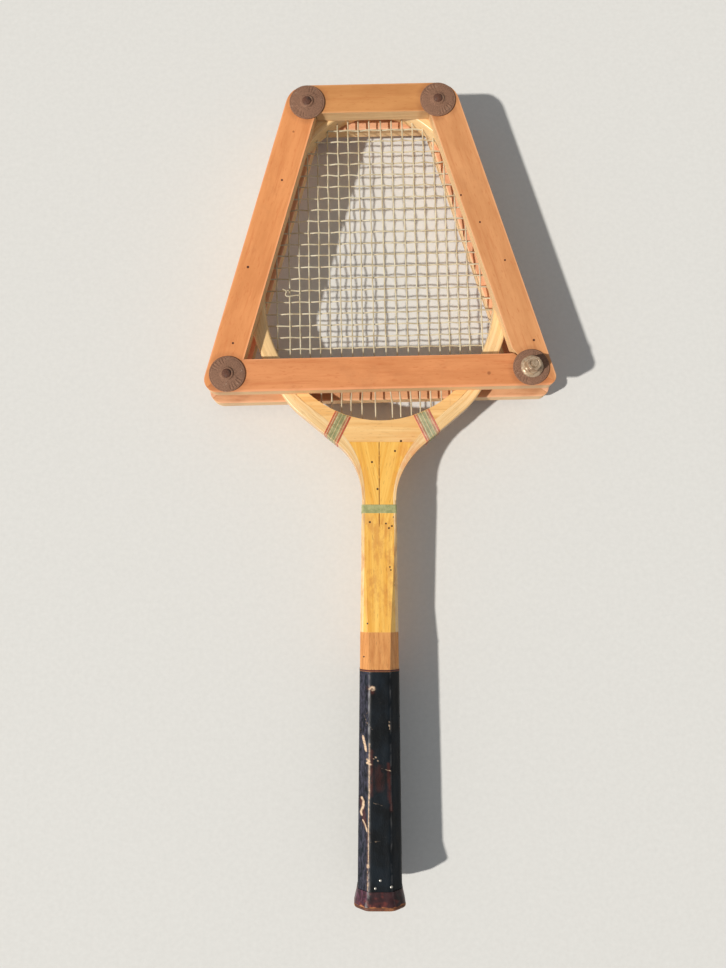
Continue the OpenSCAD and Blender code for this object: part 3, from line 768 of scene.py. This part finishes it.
def ray_hit(poly, start, way):
    """Nearest distance along way from start to a closed polygon's edge."""
    best = None
    for (ax, ay), (bx, by) in zip(poly, poly[1:] + poly[:1]):
        ex, ey = bx - ax, by - ay
        cross = way[0] * ey - way[1] * ex
        if abs(cross) < 1e-9:
            continue
        t = ((ax - start[0]) * ey - (ay - start[1]) * ex) / cross
        u = ((ax - start[0]) * way[1] - (ay - start[1]) * way[0]) / cross
        if 0 <= u <= 1 and t > 0 and (best is None or t < best):
            best = t
    return best


# The head's opening, all the way round
hole_poly = [lean(*((-1 if t > 180 else 1) * oval(t if t <= 180 else 360 - t)[0],
                    oval(t if t <= 180 else 360 - t)[1])) for t in range(0, 360, 2)]


def whipping(name, centre_x, replaces):
    """Turns of thread round a shoulder; their edges are red with a straw turn between."""
    side = 1 if centre_x > 0 else -1
    turn = radians(WHIP_TURN) * side
    way, step = (-sin(turn), cos(turn)), (cos(turn), sin(turn))
    p = Parts()
    turns = int(WHIP_W / THREAD_STEP)
    for k in range(turns + 1):
        u = -turns * THREAD_STEP / 2 + k * THREAD_STEP
        start = (centre_x + u * step[0], WHIP_Y + u * step[1])
        up = ray_hit(hole_poly, start, way)
        down = ray_hit(outer, start, (-way[0], -way[1]))
        out = 0.12
        sq = [(-down - out, -HALF_T - out), (up + out, -HALF_T - out),
              (up + out, HALF_T + out), (-down - out, HALF_T + out)]
        ring = rounded(sq, [1.6] * 4, 5)
        slant = 0.3 * sin(k * 1.9)
        loop = [(start[0] + way[0] * a + step[0] * slant * (b / HALF_T) * 0.3,
                 start[1] + way[1] * a + step[1] * slant * (b / HALF_T) * 0.3, b) for a, b in ring]
        inward = min(k, turns - k)
        pick = 1 if inward in (0, 1, 3) else 2 if inward == 2 or k % 4 == 1 else 0
        p.add(*tube(loop, THREAD_R, (step[0], step[1], 0), 6, closed=True), pick=pick)
    p.make(name, "racket", "whipping_thread", [green_thread, red_thread, straw_thread], replaces)


whipping("whipping_left", -35.0, ["shoulder_whipping_left"])
whipping("whipping_right", 41.0, ["shoulder_whipping_right"])


def oct_corners(w, t, c):
    """Corners of an octagon from its half width, half thickness and corner cut."""
    return [(w, t - c), (w - c, t), (c - w, t), (-w, t - c), (-w, c - t), (c - w, -t),
            (w - c, -t), (w, c - t)]


band = Parts()
for k in range(BAND_TURNS):
    y = BAND_LOW + 0.35 + k * BAND_STEP
    w, t, c = lerp_station(SHAFT, y)
    ring = rounded(oct_corners(w + 0.1, t + 0.1, c), [0.5] * 8, 3)
    band.add(*tube([(x, y, z) for x, z in ring], BAND_R, (0, 1, 0), 6, closed=True))
band.make("shaft_thread_band", "racket", "whipping_thread", [olive_thread], ["shaft_band"])

# ---------- grip, collar, butt, tacks ----------


def leather_material(name, light, dark, torn, stain, facet_highlight_colour, rough0=0.42, shine=0.42):
    """Leather whose wear and brown fields say where it is torn or dyed, whose rub and highlight
    field marks ridges rubbed pale with a painted highlight on the lit side, and whose lit facet
    field marks the painted highlight on the facet that faces the key light.
    """
    s = Shade(name)
    vec = s.object_coords()
    pores = s.cells(vec, 900)
    crease = s.streaks(vec, 0.6, 260, 5, 0.65, 0.6)
    tone = s.noise(vec, 55, 4, 0.6)
    wear, rub = s.field("wear", "Fac"), s.field("rub", "Fac")
    brown, facet = s.field("brown", "Fac"), s.field("facet", "Fac")
    colour = s.mix(s.ramp(tone, 0.35, 0.7), dark, light)
    # Painted highlight: the upper left facet, which faces the key light, is lightened in streaky
    # patches.
    highlight_patches = s.ramp(s.streaks(vec, 0.3, 500, 4, 0.7), 0.35, 0.7)
    colour = s.tint(colour, facet, highlight_patches, facet_highlight_colour)
    colour = s.tint(colour, brown, s.ramp(crease, 0.3, 0.55), stain)
    scratch = s.ramp(s.noise(s.place(vec, (0.25, 1.6, 1)), 700, 3, 0.7), 0.66, 0.74)
    colour = s.tint(colour, scratch, 0.2, srgb(80, 76, 74))
    # Ridges rubbed pale, which on the lit upper left is also a painted highlight.
    rubbed_and_highlit = s.times(rub, s.ramp(crease, 0.35, 0.6))
    colour = s.mix(rubbed_and_highlit, colour, srgb(186, 182, 180))
    torn_mask = s.ramp(s.plus(wear, s.times(crease, 0.4)), 0.38, 1.08)
    flesh = s.mix(s.ramp(s.noise(vec, 620, 3), 0.4, 0.62), torn, scaled(torn, 0.6))
    colour = s.mix(torn_mask, colour, flesh)
    rough = s.plus(s.times(torn_mask, 0.4), s.plus(s.times(tone, 0.2), rough0 - 0.1))
    height = s.plus(s.times(pores, 0.5), crease)
    height = s.minus(height, s.times(torn_mask, 1.5))
    return s.finish(colour, rough, height, 0.35, 0.0003, Specular_IOR_Level=shine)


navy = leather_material("navy_leather", srgb(15, 25, 33), srgb(5, 9, 12), srgb(232, 200, 168),
                        srgb(92, 46, 38), srgb(74, 72, 88), 0.5, 0.22)
maroon = leather_material("collar_leather", srgb(76, 44, 46), srgb(30, 19, 22),
                          srgb(214, 140, 88), srgb(112, 52, 46), srgb(118, 70, 90), 0.4, 0.35)
raw = leather_material("butt_leather", srgb(128, 78, 50), srgb(76, 44, 32),
                       srgb(232, 176, 106), srgb(150, 84, 50), srgb(120, 80, 60), 0.6)
red_tape = leather_material("red_tape", srgb(96, 42, 38), srgb(56, 24, 24),
                            srgb(150, 90, 70), srgb(80, 30, 26), srgb(96, 50, 50), 0.5)

# Torn and worn places on the grip's front: (half width, how torn, points along it)
TEARS = [
    (0.75, 0.75, [(-8.6, 171.2), (-6.3, 172.9), (-4.6, 172.2), (-4.4, 170.8), (-5.9, 170.2)]),
    (0.2, 0.4, [(-16.4, 139.5), (-15.2, 135.9), (-14.4, 134.2)]),
    (0.7, 1.0, [(-13.8, 132.8), (-12.5, 127.5), (-11.3, 122.0)]),
    (0.6, 1.0, [(-10.6, 115.4), (-8.4, 114.3), (-10.4, 112.6), (-7.5, 111.8)]),
    (0.3, 0.7, [(-4.8, 116.0), (-3.4, 117.4), (-2.2, 116.4), (-1.8, 114.4)]),
    (0.2, 0.5, [(0.2, 109.0), (4.5, 107.9), (7.0, 107.2)]),
    (0.3, 0.8, [(7.0, 107.2), (9.0, 106.7)]),
    (0.35, 0.7, [(7.7, 145.8), (7.9, 139.5)]),
    (0.18, 0.5, [(-9.1, 152.9), (-12.7, 149.7), (-9.7, 142.3)]),
    (0.18, 0.45, [(-12.4, 144.8), (-8.6, 142.4), (-6.4, 139.2)]),
    (0.16, 0.4, [(-15.0, 144.0), (-9.0, 141.0)]),
    (0.55, 0.62, [(-8.6, 128.0), (-8.6, 118.0), (-8.6, 106.6), (-8.8, 92.0)]),
    (0.4, 0.85, [(-8.8, 92.0), (-9.2, 72.0), (-9.5, 57.8)]),
    (0.3, 0.8, [(-9.5, 57.8), (-9.7, 34.7)]),
    (0.9, 0.9, [(-9.8, 33.7), (-9.8, 32.8)]),
    (0.3, 0.8, [(-9.9, 30.0), (-10.0, 13.8)]),
    (0.75, 0.85, [(-14.9, 84.7), (-13.4, 82.3), (-13.7, 78.4), (-15.5, 73.7), (-14.8, 71.4)]),
    (0.5, 0.85, [(-14.0, 67.7), (-12.0, 64.4), (-10.7, 59.8)]),
    (0.16, 0.5, [(-6.2, 82.0), (-1.7, 81.0), (3.1, 79.5)]),
    (0.14, 0.4, [(-8.3, 51.8), (-3.8, 52.4), (7.5, 52.2)]),
    (0.14, 0.35, [(-9.0, 58.9), (-3.0, 58.4)]), (0.14, 0.3, [(-4.0, 163.5), (6.5, 162.0)]),
    (0.4, 0.6, [(-3.8, 52.4), (-3.5, 52.1)])]
# Where the leather's dye has gone brown: (half width, how brown, points along it)
BROWNED = [(1.6, 0.5, [(-8.5, 172.0), (-6.0, 169.0)]), (1.3, 0.7, [(-7.8, 122.0), (-7.6, 88.0)]),
           (0.9, 0.55, [(7.0, 112.0), (8.0, 88.0), (9.3, 75.7)]),
           (2.6, 0.3, [(-1.0, 108.0), (0.0, 94.0)]), (1.2, 0.6, [(-15.0, 84.0), (-12.0, 63.0)]),
           (0.8, 0.5, [(-9.6, 60.0), (-9.8, 16.0)])]


def mark_depth(x, y, marks, ragged):
    """How deep in the strongest of these marks a point on the leather's front lies."""
    deepest = 0.0
    for half, strong, points in marks:
        for (ax, ay), (bx, by) in zip(points, points[1:]):
            if not min(ay, by) - 2 * half - 2 < y < max(ay, by) + 2 * half + 2:
                continue
            t = ((x - ax) * (bx - ax) + (y - ay) * (by - ay)) / ((bx - ax) ** 2 + (by - ay) ** 2)
            t = min(1.0, max(0.0, t))
            d = hypot(x - ax - t * (bx - ax), y - ay - t * (by - ay))
            d += ragged * noise.noise(Vector((x * 1.1, y * 0.7, half * 9)))
            deepest = max(deepest, strong * min(1.0, 1.45 - 0.75 * d / half))
    return max(0.0, deepest)


def oct_ring(w, t, c, radius, per=5):
    """Octagon with rounded corners and its flats cut in eight."""
    ring = rounded(oct_corners(w, t, c), [radius] * 8, per)
    points = []
    for i, (ax, az) in enumerate(ring):
        bx, bz = ring[(i + 1) % len(ring)]
        parts = 8 if (i + 1) % (per + 1) == 0 else 1
        points += [(ax + (bx - ax) * q / parts, az + (bz - az) * q / parts) for q in range(parts)]
    return points


def oct_sleeve(name, stations, y_values, radius, mat, slot, replaces, inner, worn_rim=False,
               grow=0.0):
    """Octagonal leather sleeve over the inner octagon, with its wear, dye, rub and painted
    highlight as fields.
    """
    rings, wear, rub, browns, lit_facet_highlights = [], [], [], [], []
    for y in y_values:
        w, t, c = lerp_station(stations, y)
        w, t = w + grow, t + grow
        c = c + 0.586 * grow
        row = []
        for x, z in oct_ring(w, t, c, radius):
            bump = 0.12 * noise.noise(Vector((x * 0.35, y * 0.12, z * 0.35))) - 0.13
            hit = brown = 0.0
            if worn_rim:
                patchy = noise.noise(Vector((x * 0.25, y * 0.35, z * 0.25)))
                hit = max(0.0, 1.0 - abs(y - y_values[0]) / max(0.1, 0.7 + 3.0 * patchy))
                brown = min(1.0, max(0.0, 2.2 * patchy + (5.0 - y) * 0.09))
            elif z > 0:
                hit = mark_depth(x, y, TEARS, 0.3)
                brown = mark_depth(x, y, BROWNED, 0.8)
            corner = abs(abs(x) - (w - c)) if abs(z) > t - 1.2 else 9.0
            # Painted highlight: on the upper left, which faces the key light, the ridge line is
            # made stronger and the facet gets its lighter tone.
            lit = x < 0 < z
            ridge_rub_and_highlight = exp(-(corner / 0.5) ** 2) * (0.95 if lit else 0.2)
            ridge_rub_and_highlight *= 0.55 + 0.9 * noise.noise(Vector((0.0, y * 0.11, 5.0)))
            browns.append(brown)
            lit_facet_highlights.append(0.8 if lit and x < -(w - c) else 0.0)
            length = hypot(x, z)
            k = 1 + (bump - 0.3 * min(1.0, max(0.0, hit))) / length
            row.append((x * k, y, z * k))
            wear.append(hit)
            rub.append(ridge_rub_and_highlight)
        rings.append(row)
    n = len(rings[0])
    p = Parts()
    v, f = loft(rings, caps=False)
    core = []
    for y in (y_values[0], y_values[-1]):
        core += [(x, y, z) for x, z in oct_ring(*lerp_station(inner, y), 0.3)]
    base = len(v)
    v += core
    top = (len(rings) - 1) * n
    for j in range(n):
        k = (j + 1) % n
        f.append((j, base + j, base + k, k))
        f.append((top + k, base + n + k, base + n + j, top + j))
        f.append((base + j, base + n + j, base + n + k, base + k))
    fields = {"wear": wear, "rub": rub, "brown": browns, "facet": lit_facet_highlights}
    for values in fields.values():
        values += [0.0] * (2 * n)
    p.add(v, f, **fields)
    p.make(name, "racket", slot, [mat], replaces)


GRIP_ROWS, GRIP_STEP = 244, 0.7
COLLAR_ROWS, COLLAR_STEP = 21, 0.575
oct_sleeve("grip_wrap", GRIP, [GRIP_BOTTOM + GRIP_STEP * i for i in range(GRIP_ROWS)] + [GRIP_TOP],
           2.2, navy, "grip_leather", ["leather_grip"], GRIP, grow=LEATHER)
oct_sleeve("butt_cuff", COLLAR, [COLLAR[0][0] + COLLAR_STEP * i for i in range(COLLAR_ROWS)],
           3.2, maroon, "collar_leather", ["butt_collar"], GRIP, worn_rim=True)
plate = []
for y, cut in ((0.0, 1.0), (0.3, 0.45), (0.9, 0.1), (1.7, 0.0), (2.5, 0.1)):
    w, t, c = COLLAR[0][1:]
    plate.append([(x, y, z) for x, z in rounded(oct_corners(w - cut, t - cut, c), [3.0] * 8, 5)])
p = Parts()
v, f = loft(plate)
patch = [noise.noise(Vector((x * 0.2, 1.0, z * 0.2))) for x, y, z in v]
p.add(v, f, wear=[max(0.0, 0.25 + 0.9 * n) for n in patch], rub=[0.0] * len(v),
      brown=[max(0.0, 0.4 + n) for n in patch], facet=[0.0] * len(v))
p.make("butt_disc", "racket", "butt_leather", [raw], ["butt_plate"])
soften("grip_top_tape", 0.1, 1)
dress("grip_top_tape", red_tape)


def metal_material(name, light, dark, rust, amount, metallic, rough0, bumpy=0.4):
    s = Shade(name)
    vec = s.object_coords()
    broad = s.noise(vec, 150, 6, 0.7)
    pits = s.noise(vec, 1500, 4, 0.7)
    colour = s.mix(s.ramp(s.noise(vec, 420, 4), 0.35, 0.65), light, dark)
    rusty = s.ramp(s.plus(broad, s.times(pits, 0.35)), 0.82 - amount, 1.0 - amount)
    orange = s.mix(s.ramp(pits, 0.4, 0.7), rust, scaled(rust, 0.4))
    colour = s.mix(rusty, colour, orange)
    metal = s.minus(metallic, s.times(rusty, metallic * 0.8), True)
    rough = s.plus(s.times(rusty, 0.3), s.plus(s.times(pits, 0.2), rough0))
    height = s.plus(s.times(pits, 0.8), s.times(rusty, 0.5))
    return s.finish(colour, rough, height, bumpy, 0.0002, metallic=metal)


rusty = metal_material("rusty_steel", srgb(188, 158, 134), srgb(146, 118, 98),
                       srgb(150, 110, 86), 0.4, 0.35, 0.42)
dark_iron = metal_material("dark_bolt_steel", srgb(112, 86, 74), srgb(78, 58, 50),
                           srgb(110, 70, 52), 0.3, 0.4, 0.4)
bright = metal_material("worn_bright_steel", srgb(206, 182, 154), srgb(172, 148, 120),
                        srgb(150, 112, 84), 0.14, 0.5, 0.36, 0.12)
iron = metal_material("wing_nut_iron", srgb(130, 106, 90), srgb(84, 66, 54),
                      srgb(126, 76, 48), 0.4, 0.5, 0.45)
tack_metal = metal_material("tack_steel", srgb(206, 202, 192), srgb(150, 144, 134),
                            srgb(150, 110, 80), 0.05, 0.8, 0.28)

TACKS, TACK_R = ((0.2, 22.9), (-3.8, 16.9), (8.9, 18.0)), 1.1
tacks = Parts()
for tx, ty in TACKS:
    top = lerp_station(GRIP, ty)[1] + LEATHER
    profile = [(0.0, top - 6.0), (0.5, top - 5.5), (0.5, top - 0.25), (TACK_R, top - 0.25)]
    profile += [(TACK_R * cos(a), top + 0.02 + 0.5 * sin(a))
                for a in (pi / 2 * q / 6 for q in range(6))] + [(0.0, top + 0.52)]
    tacks.add(*shift(lathe(profile, 20), tx, ty))
tacks.make("tack_heads", "racket", "tack_steel", [tack_metal], ["grip_tacks"])


# ---------- press fasteners ----------
def disc_shape(first):
    """Stamped radial ticks at two opposite places of a pressed washer."""
    def shape(r, z, a):
        if z < 1.2 or not 9.4 < r < 13.8:
            return r, z
        turn = degrees(a) - first
        off = min(abs((turn - c + 180) % 360 - 180) for c in (0, 180))
        if off < 30 and (off % 12) < 4.6:
            return r, z - 0.38
        return r, z
    return shape


DISC_PROFILE = [(BOLT_R + 0.05, 0.0), (14.6, 0.0), (15.2, 0.25), (DISC_R, 0.6), (15.2, 1.05),
                (14.9, 1.35), (14.5, 1.45), (14.3, 1.3), (14.0, 1.3), (13.8, 1.5),
                (13.7, 1.55), (12.5, 1.7), (11.0, 1.84), (9.6, 1.95), (9.3, 1.98), (7.5, 2.12),
                (5.9, 2.26), (5.6, 2.45), (5.35, 3.0), (5.0, 3.28), (4.6, BOSS_H),
                (BOLT_R + 0.4, BOSS_H), (BOLT_R + 0.05, 3.1)]
for name, first in (("top_left", 52.0), ("top_right", 128.0), ("bottom_left", 132.0),
                    ("bottom_right", 225.0)):
    bx, by = press_point(*BOLTS[name])
    p = Parts()
    p.add(*shift(lathe(DISC_PROFILE, 180, disc_shape(first)), bx, by, DISC_Z))
    p.make(f"washer_{name}", "front_frame", "rusty_steel", [rusty], [f"disc_{name}"], sharp=50)


def screw(z0, z1, r, depth=0.55, seg=20, per=5):
    """Threaded rod whose lower end is chamfered and whose thread fades at both ends."""
    chamfer = 0.8
    rings = []
    count_z = int((z1 - z0) / PITCH * per)
    for k in range(count_z + 1):
        z = z0 + (z1 - z0) * k / count_z
        run_out = min(1.0, (z - z0) / 1.2, (z1 - z) / 1.0)
        ring = []
        for j in range(seg):
            phase = (z / PITCH - j / seg) % 1.0
            cut = depth * (1 - abs(2 * phase - 1)) * max(0.0, run_out)
            if z - z0 < chamfer:
                cut = max(cut, chamfer - (z - z0))
            ring.append(((r - cut) * cos(2 * pi * j / seg), (r - cut) * sin(2 * pi * j / seg), z))
        rings.append(ring)
    return loft(rings)


def peen(seed):
    """Uneven surface of a hammered bolt end."""
    def shape(r, z, a):
        if z < 0.2 or r < 0.2:
            return r, z
        n = noise.noise(Vector((r * cos(a), r * sin(a), seed)) * 0.9)
        return r + 0.25 * n - 0.2, z + 0.18 * n - 0.18
    return shape


HEAD = [(0.0, -0.3), (3.1, -0.3), (3.9, 0.0), (3.95, 0.35), (3.7, 0.7), (3.3, 1.05),
        (2.6, 1.35), (1.7, 1.52), (0.9, 1.58), (0.0, 1.6)]
for k, name in enumerate(("top_left", "top_right", "bottom_left")):
    bx, by = press_point(*BOLTS[name])
    p = Parts()
    p.add(*shift(screw(BOLT_END, DISC_Z - 2, BOLT_R), bx, by))
    low, high = DISC_Z - 2.2, DISC_Z + BOSS_H + 0.05
    p.add(*shift(lathe([(0, low), (BOLT_R, low), (BOLT_R, high), (0, high)], 24), bx, by))
    p.add(*shift(lathe(HEAD, 40, peen(k * 3.3)), bx, by, DISC_Z + BOSS_H), pick=1)
    p.make(f"bolt_{name}_threaded", "front_frame", "rusty_steel", [rusty, dark_iron],
           [f"bolt_{name}"])
bx, by = press_point(*BOLTS["bottom_right"])
NUT_Z, FLANGE_H, LOCK_H = DISC_Z + BOSS_H, 6.2, 4.8
FLANGE_FLATS, LOCK_FLATS, LOCK_TURN = 13.3, 11.2, radians(20)
STUD_TOP = NUT_Z + FLANGE_H + LOCK_H + 0.6
p = Parts()
p.add(*shift(screw(BOLT_END, STUD_TOP - 0.35, BOLT_R), bx, by))
p.add(*shift(lathe([(0, STUD_TOP - 0.5), (2.8, STUD_TOP - 0.5), (2.5, STUD_TOP),
                    (0, STUD_TOP)], 24), bx, by))
p.make("stud_threaded", "front_frame", "bright_steel", [bright], ["stud_bottom_right"])


def hex_nut(rows, turn, z, across_flats, seg=72):
    """rows are (height, radius, hexagonal): a hexagonal row is cut to its radius."""
    rings = []
    for k in range(seg):
        a = 2 * pi * k / seg
        flat = across_flats / 2 / cos((a + pi / 6) % (pi / 3) - pi / 6)
        rings.append([((min(flat, r) if six else r) * cos(a),
                       (min(flat, r) if six else r) * sin(a), h) for h, r, six in rows])
    return shift(loft(rings, closed=True), bx, by, z, turn)


flange = [(0.0, BOLT_R + 0.05, False), (0.0, 9.2, False), (0.4, 9.4, False), (1.0, 9.0, False),
          (1.6, 8.2, False), (1.9, 7.75, True), (2.2, 7.7, True), (4.9, 7.7, True),
          (5.6, 7.4, True), (FLANGE_H, 6.5, True), (FLANGE_H, 4.0, False),
          (5.6, BOLT_R + 0.05, False)]
lock = [(0.5, BOLT_R + 0.05, False), (0.0, 4.0, False), (0.0, 5.5, True), (0.5, 6.2, True),
        (1.0, 6.46, True), (3.8, 6.46, True), (4.4, 6.1, True), (LOCK_H, 5.4, True),
        (LOCK_H, 4.0, False), (4.3, BOLT_R + 0.05, False)]
p = Parts()
p.add(*hex_nut(flange, PRESS_TURN, NUT_Z, FLANGE_FLATS))
p.make("nut_with_flange", "front_frame", "bright_steel", [bright], ["flange_nut"], sharp=20)
p = Parts()
p.add(*hex_nut(lock, PRESS_TURN + LOCK_TURN, NUT_Z + FLANGE_H, LOCK_FLATS))
p.make("nut_on_top", "front_frame", "bright_steel", [bright], ["lock_nut"], sharp=20)
for name in BOLTS:
    soften(f"wing_nut_{name}", 0.45)
    dress(f"wing_nut_{name}", iron)
soften("plain_washers", 0.25, 1)
dress("plain_washers", rusty)
spline_mat = racket_material("spline_ply", BARE_LIGHT, BARE_DARK, 12.2, angle=radians(40))
for name in ("front_corner_splines", "rear_corner_splines"):
    soften(name, 0.1, 1)
    dress(name, spline_mat)

# ---------- floor, light, camera ----------
FLOOR_HALF, FLOOR_GAP = 4.0, 0.0002
WORLD_TINT, WORLD_LIGHT = (0.93, 0.96, 1.0, 1), 0.31
SUN_TINT, SUN_LIGHT, SUN_SIZE, SUN_FROM = (1.0, 0.965, 0.91), 3.35, 2.0, (-0.83, -0.44, 1.0)
CAMERA_AT, CAMERA_TILT, SENSOR, LENS = (-0.0136, 0.2667, 0.6987), 6, 36.0, 30.72

me = bpy.data.meshes.new("floor")
floor_z = cad_low.z - FLOOR_GAP
me.from_pydata([(x * FLOOR_HALF, y * FLOOR_HALF, floor_z)
                for x, y in ((-1, -1), (1, -1), (1, 1), (-1, 1))], [], [(0, 1, 2, 3)])
s = Shade("pale_floor")
speck = s.noise(s.object_coords(), 260, 4)
me.materials.append(s.finish(s.mix(speck, srgb(226, 225, 221), srgb(214, 213, 209)), 0.8,
                             speck, 0.05, 0.0002))
floor = bpy.data.objects.new("floor", me)
scene.collection.objects.link(floor)
floor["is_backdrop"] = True

world = bpy.data.worlds.new("studio")
scene.world = world
world.use_nodes = True
background = world.node_tree.nodes["Background"]
background.inputs["Color"].default_value = WORLD_TINT
background.inputs["Strength"].default_value = WORLD_LIGHT
sun = bpy.data.lights.new("key", "SUN")
sun.energy = SUN_LIGHT
sun.angle = radians(SUN_SIZE)
sun.color = SUN_TINT
lamp = bpy.data.objects.new("key", sun)
lamp.rotation_mode = "QUATERNION"
lamp.rotation_quaternion = Vector(SUN_FROM).to_track_quat("Z", "Y")
scene.collection.objects.link(lamp)

camera_data = bpy.data.cameras.new("camera")
camera_data.sensor_width = SENSOR
camera_data.lens = LENS
camera = bpy.data.objects.new("camera", camera_data)
camera.location = CAMERA_AT
camera.rotation_euler = (radians(CAMERA_TILT), 0, 0)
scene.collection.objects.link(camera)
scene.camera = camera
scene.view_settings.view_transform = "Standard"

low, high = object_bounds()
